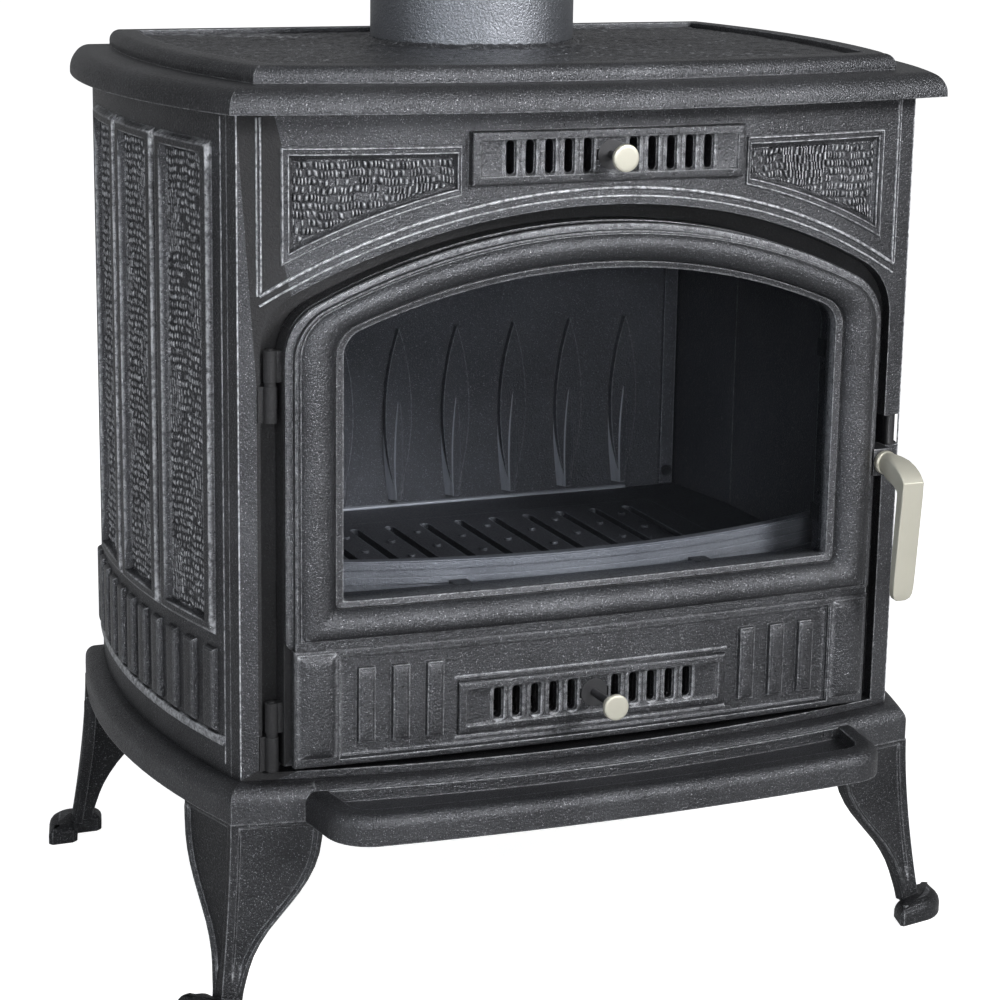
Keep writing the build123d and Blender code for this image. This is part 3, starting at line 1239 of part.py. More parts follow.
def make_back_liner():
    front = back_liner_front()
    half = BACK_LINER_WIDTH / 2
    liner = box(-half, half, front, front + LINER_THICKNESS, FLOOR_Z, FLOOR_Z + LINER_HEIGHT)
    for index in range(RIB_COUNT):
        x = (index - (RIB_COUNT - 1) / 2) * RIB_PITCH
        liner += leaf(x, front, FLOOR_Z + RIB_BASE)
    for x, z in clip_screw_places():
        liner -= rod_y(x, z, front, front + LINER_THICKNESS, SCREW_RADIUS + THREAD_CLEARANCE)
    return liner


def clip_screw_places():
    x = BACK_LINER_WIDTH / 2 - CLIP_WIDTH / 2 - 2
    for side in (-1, 1):
        for z in (FLOOR_Z + CLIP_SCREW_END, FLOOR_Z + LINER_HEIGHT - 2 * CLIP_SCREW_END):
            yield side * x, z


def make_liner_clips():
    front = back_liner_front() - CLIP_THICKNESS
    strips = []
    for side in (-1, 1):
        x = side * (BACK_LINER_WIDTH / 2 - CLIP_WIDTH / 2 - 2)
        strip = box(x - CLIP_WIDTH / 2, x + CLIP_WIDTH / 2, front, front + CLIP_THICKNESS,
                    FLOOR_Z + 2, FLOOR_Z + LINER_HEIGHT - 10)
        for place, z in clip_screw_places():
            strip -= rod_y(place, z, front, front + CLIP_THICKNESS, SCREW_RADIUS + THREAD_CLEARANCE)
        strips.append(strip)
    return group(strips)


def make_liner_screws():
    front = back_liner_front() - CLIP_THICKNESS
    screws = []
    for x, z in clip_screw_places():
        shank = rod_y(x, z, front, front + CLIP_THICKNESS + LINER_THICKNESS - 1, SCREW_RADIUS)
        screws.append(shank + rod_y(x, z, front - SCREW_HEAD_HEIGHT + 1, front, SCREW_HEAD))
    return group(screws)


def corner_liner_front():
    return back_liner_front() - CORNER_LINER_RUN


def make_corner_liner():
    """Slanted plate at the right, from the back liner's edge forward to the side liner."""
    inner_back = (BACK_LINER_WIDTH / 2 + SEAT_CLEARANCE, back_liner_front() + LINER_THICKNESS)
    inner_front = (SIDE_LINER_X, corner_liner_front())
    outline = make_face(
        Polyline(
            inner_back,
            inner_front,
            (inner_front[0] + LINER_THICKNESS, inner_front[1]),
            (inner_back[0] + LINER_THICKNESS, inner_back[1]),
            close=True,
        )
    )
    return rise(outline, FLOOR_Z, FLOOR_Z + LINER_HEIGHT)


def make_side_liner():
    front = FRONT_Y + SIDE_LINER_FRONT
    back = corner_liner_front() - SEAT_CLEARANCE
    return box(SIDE_LINER_X, SIDE_LINER_X + LINER_THICKNESS, front, back, FLOOR_Z, FLOOR_Z + LINER_HEIGHT)


def guard_arc(grow):
    half = GUARD_WIDTH / 2
    radius = (half**2 + GUARD_BOW**2) / (2 * GUARD_BOW)
    centre = FRONT_Y + GUARD_FRONT + radius
    return Pos(0, centre) * Circle(radius + grow)


def make_log_guard():
    """Bowed rail on the front of the fire floor, with three ribs on its face."""
    half = GUARD_WIDTH / 2
    window = Pos(0, FRONT_Y + GUARD_FRONT + GUARD_BOW / 2) * Rectangle(GUARD_WIDTH, GUARD_BOW + 30)
    front = LANDING_Y + LANDING_THICKNESS + SEAT_CLEARANCE
    behind = Pos(0, front + GUARD_BOW) * Rectangle(2 * half, 2 * GUARD_BOW)
    body = (guard_arc(0) - guard_arc(-GUARD_THICKNESS)) & window
    guard = rise(body, FLOOR_Z + FIRE_FLOOR_THICKNESS, FLOOR_Z + GUARD_HEIGHT)
    for index in range(GUARD_RIB_COUNT):
        level = FLOOR_Z + FIRE_FLOOR_THICKNESS + GUARD_RIB_FIRST + index * GUARD_RIB_PITCH
        rib = (guard_arc(GUARD_RIB_RISE) - guard_arc(-GUARD_THICKNESS)) & window
        guard += rise(rib, level, level + GUARD_RIB_HEIGHT)
    foot = (guard_arc(0) & window) & behind
    guard += rise(foot - guard_arc(-3 * GUARD_THICKNESS), FLOOR_Z, FLOOR_Z + FIRE_FLOOR_THICKNESS + 1)
    return guard


def make_baffle():
    front = FRONT_Y + BAFFLE_FRONT_GAP
    half = SIDE_LINER_X + LINER_THICKNESS - 6
    plate_face = Pos(0, (front + BACK_Y - WALL - 1) / 2) * Rectangle(2 * half, BACK_Y - WALL - 1 - front)
    baffle = rise(plate_face & fire_plan(), baffle_bottom(), baffle_bottom() + BAFFLE_THICKNESS)
    for x, y in rod_places():
        baffle -= rod(x, y, baffle_bottom(), baffle_bottom() + BAFFLE_THICKNESS, ROD_RADIUS + 2)
    return baffle


def pan_front():
    return LANDING_Y + LANDING_THICKNESS + 2


def make_ash_pan():
    front = pan_front()
    back = front + ASH_PAN_DEPTH
    half = ASH_PAN_WIDTH / 2
    bottom = BASE_TOP + PAN_BOTTOM
    pan = box(-half, half, front, back, bottom, bottom + ASH_PAN_HEIGHT)
    pan -= box(-half + ASH_PAN_WALL, half - ASH_PAN_WALL, front + ASH_PAN_WALL, back - ASH_PAN_WALL,
               bottom + ASH_PAN_WALL, bottom + ASH_PAN_HEIGHT)
    return pan


# ---------- write the parts ----------
def main():
    os.makedirs("parts", exist_ok=True)
    save("base_plate", make_base())
    save("leg_front_left", drilled_leg(-1, True))
    save("leg_front_right", drilled_leg(1, True))
    save("leg_rear_left", drilled_leg(-1, False))
    save("leg_rear_right", drilled_leg(1, False))
    save("leg_bolts", make_leg_bolts())
    save("front_plate", make_front_plate())
    left_panel = make_side_panel()
    save("side_panel_left", left_panel)
    save("side_panel_right", mirror(left_panel, Plane.YZ))
    save("back_plate", make_back_plate())
    save("rear_heat_shield", make_shield())
    save("shield_spacers", make_shield_spacers())
    save("shield_screws", make_shield_screws())
    save("top_plate", make_top_plate())
    save("flue_collar", make_flue_collar())
    save("collar_bolts", make_collar_bolts())
    save("tie_rods", make_tie_rods())
    save("tie_nuts", make_tie_nuts())

    upper = (UPPER_SLOT_BOTTOM, UPPER_SLOT_TOP)
    save("upper_air_slider", make_slider(*upper, upper_slider_front()))
    save("upper_slider_guides", make_guides(*upper, upper_slider_front() - RUN_CLEARANCE))
    upper_seat = FRONT_Y - UPPER_PAD_FRONT + PAD_RECESS - SEAT_CLEARANCE
    save("upper_knob_washer", make_washer(*upper, upper_seat))
    save("upper_knob_stem", make_stem(*upper, UPPER_KNOB_FRONT, upper_slider_front()))
    save("upper_air_knob", make_knob(*upper, UPPER_KNOB_FRONT))

    save("door_frame", make_door_frame())
    save("door_rope", make_door_rope())
    save("door_glass", make_door_glass())
    save("glass_rope", make_glass_rope())
    save("glass_clips", make_glass_clips())
    save("glass_clip_screws", make_glass_clip_screws())
    save("hinge_pins", make_hinge_pins())
    lower = (LOWER_SLOT_BOTTOM, LOWER_SLOT_TOP)
    save("lower_air_slider", make_slider(*lower, lower_slider_front()))
    save("lower_slider_guides", make_guides(*lower, lower_slider_front() - RUN_CLEARANCE))
    lower_seat = lower_pad_front() + PAD_RECESS - SEAT_CLEARANCE
    save("lower_knob_washer", make_washer(*lower, lower_seat))
    save("lower_knob_stem", make_stem(*lower, LOWER_KNOB_FRONT, lower_slider_front()))
    save("lower_air_knob", make_knob(*lower, LOWER_KNOB_FRONT))

    save("handle_spindle", make_spindle())
    save("door_handle", make_handle())
    save("latch_hook", make_latch_hook())
    save("spindle_nut", make_spindle_nut())
    save("latch_roller", make_latch_roller())
    save("latch_pin", make_latch_pin())

    save("fire_floor", make_fire_floor())
    save("grate", make_grate())
    save("log_guard", make_log_guard())
    save("back_liner", make_back_liner())
    save("liner_clips", make_liner_clips())
    save("liner_screws", make_liner_screws())
    corner = make_corner_liner()
    save("corner_liner_right", corner)
    save("corner_liner_left", mirror(corner, Plane.YZ))
    side = make_side_liner()
    save("side_liner_right", side)
    save("side_liner_left", mirror(side, Plane.YZ))
    save("baffle_plate", make_baffle())
    save("ash_pan", make_ash_pan())


main()
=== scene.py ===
import bmesh
import bpy
import json
import math
from mathutils import Matrix, Vector
from mathutils import noise as field_noise

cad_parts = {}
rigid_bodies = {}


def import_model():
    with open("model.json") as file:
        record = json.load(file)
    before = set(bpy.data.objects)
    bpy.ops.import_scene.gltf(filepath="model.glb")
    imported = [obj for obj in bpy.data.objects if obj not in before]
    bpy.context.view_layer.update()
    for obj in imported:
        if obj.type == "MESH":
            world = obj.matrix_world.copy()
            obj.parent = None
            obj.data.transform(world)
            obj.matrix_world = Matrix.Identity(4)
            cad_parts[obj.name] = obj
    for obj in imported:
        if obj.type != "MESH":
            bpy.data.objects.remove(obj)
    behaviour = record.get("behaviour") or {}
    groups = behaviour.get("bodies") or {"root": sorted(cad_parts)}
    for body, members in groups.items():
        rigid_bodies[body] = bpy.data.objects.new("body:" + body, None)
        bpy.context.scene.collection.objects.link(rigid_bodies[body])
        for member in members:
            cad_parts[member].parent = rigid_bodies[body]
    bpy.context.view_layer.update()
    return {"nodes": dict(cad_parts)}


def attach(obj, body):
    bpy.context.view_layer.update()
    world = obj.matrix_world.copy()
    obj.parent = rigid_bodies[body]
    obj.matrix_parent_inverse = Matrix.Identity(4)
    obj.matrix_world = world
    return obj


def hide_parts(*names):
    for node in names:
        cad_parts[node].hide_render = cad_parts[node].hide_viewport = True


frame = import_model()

# Lengths are millimetres in the frame of the castings: x to the right, y to the back, z up from the floor.
# On the front, the door and the sides, u runs along the surface's x or y and v is the height above the base.
MM = 0.001

# Surfaces of the castings that the ornament lies on
BASE_TOP = 173
FRONT_RADIUS = 1155.06
FRONT_CENTRE_Y = 943.06
DOOR_CREST_Y = -211
DOOR_RADIUS = 2897
LOWER_PAD_Y = -206.5
UPPER_PAD_Y = -213.5
BODY_HALF_DEPTH = 180
BODY_HALF_FRONT = 270
BODY_HALF_REAR = 279
SIDE_BULGE = 23.5
LINER_FACE_Y = 153

# Places of the moving parts and the flue
HINGE_X = -248
HINGE_Y = -186
SPINDLE_X = 247
SPINDLE_Z = 378
FLUE_Y = 57


# ---- materials ----
def feed(tree, node, inputs):
    """Set a node's inputs, or link those that are another node's output, and give the node's outputs."""
    for name, value in inputs.items():
        if isinstance(value, bpy.types.NodeSocket):
            tree.links.new(value, node.inputs[name])
        else:
            node.inputs[name].default_value = value
    return node.outputs


def add_node(tree, kind, inputs=None, **settings):
    """Add a node with its settings and inputs, and give its outputs."""
    node = tree.nodes.new(f"ShaderNode{kind}")
    for name, value in settings.items():
        setattr(node, name, value)
    return feed(tree, node, inputs or {})


def new_material(name):
    """Node material with one shader, and the place on the object for its textures."""
    material = bpy.data.materials.new(name)
    material.use_nodes = True
    tree = material.node_tree
    tree.nodes.clear()
    output = tree.nodes.new("ShaderNodeOutputMaterial")
    shader = tree.nodes.new("ShaderNodeBsdfPrincipled")
    feed(tree, output, {"Surface": shader.outputs["BSDF"]})
    return material, tree, shader, add_node(tree, "TexCoord")["Object"]


def noise(tree, place, scale, detail, roughness=0.55, stretch=(1, 1, 1)):
    """Noise from 0 to 1 over a place, stretched along its axes."""
    stretched = add_node(tree, "Mapping", {"Vector": place, "Scale": stretch})["Vector"]
    inputs = {"Vector": stretched, "Scale": scale, "Detail": detail, "Roughness": roughness}
    return add_node(tree, "TexNoise", inputs)["Fac"]


def ramp(tree, value, low, high, dark, light):
    """Maps low to high onto dark to light, and clamps beyond."""
    inputs = {"Value": value, "From Min": low, "From Max": high, "To Min": dark, "To Max": light}
    return add_node(tree, "MapRange", inputs)["Result"]


def blend_colour(tree, factor, *colours):
    """Mixes two colours, each a tuple or another node's output."""
    first, second = [(*colour, 1) if isinstance(colour, tuple) else colour for colour in colours]
    return add_node(tree, "Mix", {"Factor": factor, "A": first, "B": second}, data_type="RGBA")["Result"]


def bump(tree, height, strength, distance, rounded=None):
    """Bumped normal; strength is a share and distance is in metres."""
    inputs = {"Strength": strength, "Distance": distance, "Height": height}
    if rounded is not None:
        inputs["Normal"] = rounded
    return add_node(tree, "Bump", inputs)["Normal"]


def rounded_normal(tree, radius):
    """Normal that turns gently over an edge; the radius is in metres."""
    return add_node(tree, "Bevel", {"Radius": radius}, samples=4)["Normal"]


def edge_mask(tree, rounded):
    """Goes from 0 on flat faces to 1 on outer edges, where the rounded normal leaves the face's own."""
    own = add_node(tree, "NewGeometry")["True Normal"]
    match = add_node(tree, "VectorMath", {0: own, 1: rounded}, operation="DOT_PRODUCT")["Value"]
    return ramp(tree, match, 0.84, 0.990, 1, 0)


def convex_crests(tree):
    """Goes from 0 on flats and hollows to 1 on the crests of finely divided relief."""
    return ramp(tree, add_node(tree, "NewGeometry")["Pointiness"], 0.506, 0.545, 0, 1)


def multiply(tree, first, second):
    """Product of two nodes' outputs."""
    return add_node(tree, "Math", {0: first, 1: second}, operation="MULTIPLY")["Value"]


def cast_metal(name, dark, light, highlight_tone, roughness, metallic=0.88, edge_round=0.0016, grain=0.8, highlight_share=1,
               crests=False):
    """Sand-cast iron under heat-proof paint: fine grain and mottled tone, with painted highlights on edges,
    relief crests and random specks, and painted shade darkening the hollows.
    """
    material, tree, shader, place = new_material(name)
    fine = noise(tree, place, 1100, 2, 0.6)
    coarse = noise(tree, place, 560, 2, 0.55)
    cloud = noise(tree, place, 14, 4, 0.6)
    glint = noise(tree, place, 1050, 1, 0.5)
    patchy = ramp(tree, noise(tree, place, 260, 2, 0.6), 0.36, 0.60, 0.25, 1)
    rounded = rounded_normal(tree, edge_round)
    openness = add_node(tree, "AmbientOcclusion", {"Distance": 0.004}, samples=4)["AO"]
    edge = convex_crests(tree) if crests else edge_mask(tree, rounded)
    # Painted highlight: open outer edges, or relief crests, are lightened towards the highlight tone,
    # standing in for light caught on the rounded paint.
    edge_highlight = multiply(tree, multiply(tree, edge, ramp(tree, openness, 0.50, 0.85, 0, 1)), patchy)
    tone = blend_colour(tree, ramp(tree, cloud, 0.35, 0.68, 0, 1), dark, light)
    # Painted glints: random specks lightened towards the highlight tone, standing in for sparkle of light on
    # the grain.
    tone = blend_colour(tree, ramp(tree, glint, 0.62, 0.74, 0, 0.5), tone, highlight_tone)
    tone = blend_colour(tree, ramp(tree, edge_highlight, 0, 1, 0, highlight_share), tone, highlight_tone)
    # Painted shade: where ambient occlusion finds close surfaces, in hollows and creases, the tone is
    # darkened.
    painted_shade = tuple(0.35 * part for part in dark)
    feed(tree, shader, {
        "Base Color": blend_colour(tree, ramp(tree, openness, 0.25, 0.75, 0.8, 0), tone, painted_shade),
        "Metallic": ramp(tree, edge_highlight, 0, 1, metallic, 0.40 * metallic),
        "Roughness": ramp(tree, coarse, 0.3, 0.7, roughness - 0.08, roughness + 0.10),
        "Normal": bump(tree, fine, grain, 0.0006, bump(tree, coarse, grain, 0.0010, rounded)),
    })
    return material


def satin_metal(name, colour, roughness, brush=(1, 1, 1), second=None, metallic=1):
    """Satin metal with a faint brushed grain, clouded with a second colour."""
    material, tree, shader, place = new_material(name)
    grain = noise(tree, place, 900, 3, 0.6, brush)
    second = second or tuple(part * 0.86 for part in colour)
    feed(tree, shader, {
        "Base Color": blend_colour(tree, noise(tree, place, 45, 3), colour, second),
        "Metallic": metallic,
        "Roughness": ramp(tree, grain, 0.3, 0.7, roughness - 0.06, roughness + 0.08),
        "Normal": bump(tree, grain, 0.12, 0.0002, rounded_normal(tree, 0.0006)),
    })
    return material


def rope_material(name):
    """Braided glass-fibre rope."""
    material, tree, shader, place = new_material(name)
    inputs = {"Vector": place, "Scale": 160, "Distortion": 3}
    braid = add_node(tree, "TexWave", inputs, bands_direction="DIAGONAL")["Fac"]
    feed(tree, shader, {
        "Base Color": blend_colour(tree, braid, (0.16, 0.155, 0.15), (0.34, 0.33, 0.31)),
        "Roughness": 0.92,
        "Normal": bump(tree, braid, 0.8, 0.0008),
    })
    return material


def glass_material(name):
    """Clear ceramic glass: mostly see-through, with a reflection that grows at grazing angles."""
    material, tree, shader, place = new_material(name)
    tree.nodes.remove(shader)
    tint = blend_colour(tree, noise(tree, place, 9, 3), (0.86, 0.88, 0.90), (0.92, 0.93, 0.94))
    clear = add_node(tree, "BsdfTransparent", {"Color": tint})["BSDF"]
    gloss = add_node(tree, "BsdfGlossy", {"Roughness": 0.05, "Color": (0.8, 0.85, 0.9, 1)})["BSDF"]
    share = add_node(tree, "Fresnel", {"IOR": 1.12})["Fac"]
    mixed = add_node(tree, "MixShader", {"Fac": share, 1: clear, 2: gloss})["Shader"]
    feed(tree, tree.nodes["Material Output"], {"Surface": mixed})
    return material


# Each cast metal: name, darker and lighter tone of the paint, and the tone of its painted highlights.
PAINT = ((0.062, 0.063, 0.068), (0.092, 0.094, 0.101), (0.58, 0.59, 0.62))
CASTING = cast_metal("painted_iron", *PAINT, roughness=0.34)
RELIEF_CASTING = cast_metal("painted_iron_relief", *PAINT, roughness=0.34, edge_round=0.0006, crests=True)
FLUE_CASTING = cast_metal("flue_iron", (0.20, 0.21, 0.23), (0.25, 0.26, 0.285), (0.46, 0.48, 0.52),
                          roughness=0.38, edge_round=0.0008, grain=0.55, highlight_share=0.4)
FIRE_CASTING = cast_metal("firebox_iron", (0.066, 0.065, 0.072), (0.090, 0.089, 0.098), (0.42, 0.42, 0.45),
                          roughness=0.46, metallic=0.30)
# Darker copy of the painted iron for the legs, as painted shade near the floor under the stove.
LEG_PAINTED_SHADE_CASTING = cast_metal("leg_iron_painted_shade", (0.036, 0.037, 0.040), (0.056, 0.057, 0.061), (0.50, 0.51, 0.54),
                         roughness=0.36)
# Near-black iron for the hinge knuckles and the door's seat: painted shade standing in for the dark gap
# round the door.
PAINTED_SHADE_CASTING = cast_metal("iron_painted_shade", (0.016, 0.016, 0.017), (0.024, 0.024, 0.026), (0.07, 0.07, 0.075),
                            roughness=0.60, metallic=0.30, edge_round=0.0006, grain=0.5, highlight_share=0.6)
# Log guard iron made much lighter than the firebox iron, as painted light on its bowed front.
GUARD_PAINTED_LIT_CASTING = cast_metal("guard_iron_painted_lit", (0.20, 0.20, 0.22), (0.29, 0.29, 0.31), (0.60, 0.60, 0.64),
                           roughness=0.40, metallic=0.35, edge_round=0.0010)
SHEET = cast_metal("black_sheet", (0.040, 0.041, 0.043), (0.055, 0.056, 0.060), (0.16, 0.16, 0.17),
                   roughness=0.40, metallic=0.80, edge_round=0.0005, grain=0.3)
STEEL = satin_metal("grey_steel", (0.11, 0.11, 0.115), roughness=0.40, brush=(1, 8, 1))
NICKEL = satin_metal("satin_nickel_warm", (0.60, 0.58, 0.495), roughness=0.42, brush=(6, 6, 0.6),
                     second=(0.66, 0.64, 0.545), metallic=0.62)
# Light firebox iron for the left-facing flanks of the back ribs and their foot bead: painted light standing
# in for light falling from the left.
PAINTED_LIT_FIRE = satin_metal("firebox_iron_painted_lit", (0.40, 0.40, 0.43), roughness=0.46, metallic=0.35)
ROPE = rope_material("fibre_rope")
GLASS = glass_material("clear_glass")


# ---- surfaces that ornament lies on ----
def front_y(x):
    return FRONT_CENTRE_Y - math.sqrt(FRONT_RADIUS**2 - x * x)


def door_y(x):
    return DOOR_CREST_Y + DOOR_RADIUS - math.sqrt(DOOR_RADIUS**2 - x * x)


def side_x(y):
    """Half width of the bowed body at a depth."""
    share = (y + BODY_HALF_DEPTH) / (2 * BODY_HALF_DEPTH)
    straight = BODY_HALF_FRONT + (BODY_HALF_REAR - BODY_HALF_FRONT) * share
    return straight + SIDE_BULGE * (1 - (y / BODY_HALF_DEPTH) ** 2)


def facing(surface):
    """Gives the lift of a surface that faces the front, whose y is a function of x."""
    return lambda u, v, rise: (u, surface(u) - rise, BASE_TOP + v)


on_front = facing(front_y)
on_door = facing(door_y)
on_lower_pad = facing(lambda x: LOWER_PAD_Y)
on_upper_pad = facing(lambda x: UPPER_PAD_Y)


def on_side(side):
    return lambda u, v, rise: (side * (side_x(u) + rise), u, BASE_TOP + v)


# ---- mesh building ----
# How far the foot of a moulding lies inside the casting under it.
BEAD_SUNK = 1


def new_object(name, data):
    thing = bpy.data.objects.new(name, data)
    bpy.context.scene.collection.objects.link(thing)
    return thing


class Shape:
    """Collects closed skins, to become one object."""

    def __init__(self):
        self.points = []
        self.faces = []

    def add(self, points, faces):
        start = len(self.points)
        self.points.extend(points)
        self.faces.extend(tuple(index + start for index in face) for face in faces)

    def skin(self, rings, wrap=False):
        """Join rings with the same number of points; the ends are capped unless they wrap round."""
        count = len(rings[0])
        points = [point for ring in rings for point in ring]
        faces = []
        last = len(rings) if wrap else len(rings) - 1
        for row in range(last):
            here, there = row * count, (row + 1) % len(rings) * count
            for step in range(count):
                after = (step + 1) % count
                faces.append((here + step, here + after, there + after, there + step))
        if not wrap:
            faces.append(tuple(reversed(range(count))))
            faces.append(tuple((len(rings) - 1) * count + step for step in range(count)))
        self.add(points, faces)

    def object(self, name, material, body="stove_body", replaces=(), sharp=40):
        """Make one object of the skins, that rides a body and may take the place of nodes."""
        mesh = bpy.data.meshes.new(name)
        mesh.from_pydata([(x * MM, y * MM, z * MM) for x, y, z in self.points], [], self.faces)
        tidy_normals(mesh)
        mesh.shade_smooth()
        mesh.set_sharp_from_angle(angle=math.radians(sharp))
        mesh.materials.append(material)
        piece = new_object(name, mesh)
        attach(piece, body)
        if replaces:
            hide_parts(*replaces)
        return piece


def tidy_normals(mesh):
    """Turns every face outwards."""
    work = bmesh.new()
    work.from_mesh(mesh)
    bmesh.ops.recalc_face_normals(work, faces=work.faces)
    work.to_mesh(mesh)
    work.free()


def offset_path(points, shift, closed):
    """Move a polyline sideways, to its left, with mitred corners."""
    count = len(points)
    moved = []
    for index, here in enumerate(points):
        runs = []
        if closed or index > 0:
            runs.append((points[index - 1], here))
        if closed or index < count - 1:
            runs.append((here, points[(index + 1) % count]))
        normals = []
        for start, end in runs:
            size = math.dist(start, end) or 1
            normals.append(((start[1] - end[1]) / size, (end[0] - start[0]) / size))
        nu, nv = [sum(parts) for parts in zip(*normals)]
        size = math.hypot(nu, nv)
        stretch = len(normals) / (size * size) * shift if size > 1e-6 else 0
        moved.append((here[0] + nu * stretch, here[1] + nv * stretch))
    return moved


def lay_bead(shape, points, profile, lift):
    """Sweep a profile of (sideways, rise) pairs along a line drawn on a surface."""
    columns = [offset_path(points, sideways, False) for sideways, _ in profile]
    shape.skin([[lift(u, v, rise) for (u, v), (_, rise) in zip(row, profile)] for row in zip(*columns)])


def round_profile(width, rise):
    """Half-round moulding with its foot sunk in the surface."""
    half = width / 2
    crown = [(half * u, rise * v) for u, v in arc(0, 0, 1, math.pi, -math.pi, 6)]
    return [(-half, -BEAD_SUNK), *crown, (half, 0), (half, -BEAD_SUNK)]


def flat_profile(width, rise, chamfer):
    """Flat moulding with rounded shoulders and its foot sunk in the surface."""
    half = width / 2
    return [
        (-half, -BEAD_SUNK), (-half, 0), (-half + chamfer * 0.35, rise * 0.72), (-half + chamfer, rise),
        (half - chamfer, rise), (half - chamfer * 0.35, rise * 0.72), (half, 0), (half, -BEAD_SUNK),
    ]


def run(start, end, steps):
    """Evenly spaced points from a start up to an end, which is left out."""
    shares = [step / steps for step in range(steps)]
    return [(start[0] + (end[0] - start[0]) * share, start[1] + (end[1] - start[1]) * share)
            for share in shares]


def arc(x, y, radius, start, sweep, steps):
    """Evenly spaced points round a centre, from an angle over a sweep; the last one is left out."""
    angles = [start + sweep * step / steps for step in range(steps)]
    return [(x + radius * math.cos(angle), y + radius * math.sin(angle)) for angle in angles]


def divide(points, longest):
    """Add points to a line so that no run is longer than a length."""
    result = []
    for start, end in zip(points, points[1:]):
        result += run(start, end, max(1, math.ceil(math.dist(start, end) / longest)))
    return result + points[-1:]


def rectangle(left, right, bottom, top):
    """Closed outline with 6 points along its bottom and top and 30 up each side."""
    corners = [(left, bottom), (right, bottom), (right, top), (left, top), (left, bottom)]
    result = []
    for start, end, steps in zip(corners, corners[1:], (6, 30, 6, 30)):
        result += run(start, end, steps)
    return result


# ---- arched outlines ----
ARCH_RADIUS = 490
# Edges of the door's moulding: half width, bottom, crown, radius of the upper and of the lower corners.
GLASS_EDGE = (198, 135.3, 370.4, 21, 3)
MOULDING_EDGE = (240.3, 101, 402.8, 42, 6)


def arch_shape(half, bottom, crown, corner, foot):
    """Closed outline under a flat arch. Every outline has the same number of points."""
    centre = crown - ARCH_RADIUS
    corner_x = half - corner
    corner_z = centre + math.sqrt((ARCH_RADIUS - corner) ** 2 - corner_x**2)
    meet = math.atan2(corner_z - centre, corner_x)
    quarter = math.pi / 2
    heel = bottom + foot
    points = run((foot - half, bottom), (half - foot, bottom), 28)
    points += arc(half - foot, heel, foot, -quarter, quarter, 6)
    points += run((half, heel), (half, corner_z), 12)
    points += arc(corner_x, corner_z, corner, 0, meet, 12)
    points += arc(0, centre, ARCH_RADIUS, meet, math.pi - 2 * meet, 60)
    points += arc(-corner_x, corner_z, corner, math.pi - meet, meet, 12)
    points += run((-half, corner_z), (-half, heel), 12)
    return points + arc(foot - half, heel, foot, math.pi, quarter, 6)


def door_outline(share):
    """From the glass opening, at share 0, to the moulding's outer edge, at share 1."""
    return arch_shape(*(inner + (outer - inner) * share for inner, outer in zip(GLASS_EDGE, MOULDING_EDGE)))


# ---- flat relief on lines that follow its edges ----
# Section of a rounded edge: share of its width, and share of its rise.
EDGE_STEPS = ((0, 0), (0.22, 0.5), (0.55, 0.86), (1, 1))


def soft_step(distance, width):
    """Goes from 0 to 1 over an edge of a given width."""
    share = max(0, min(1, distance / width))
    for (low, low_rise), (high, high_rise) in zip(EDGE_STEPS, EDGE_STEPS[1:]):
        if share <= high:
            return low_rise + (high_rise - low_rise) * (share - low) / (high - low)
    return 1


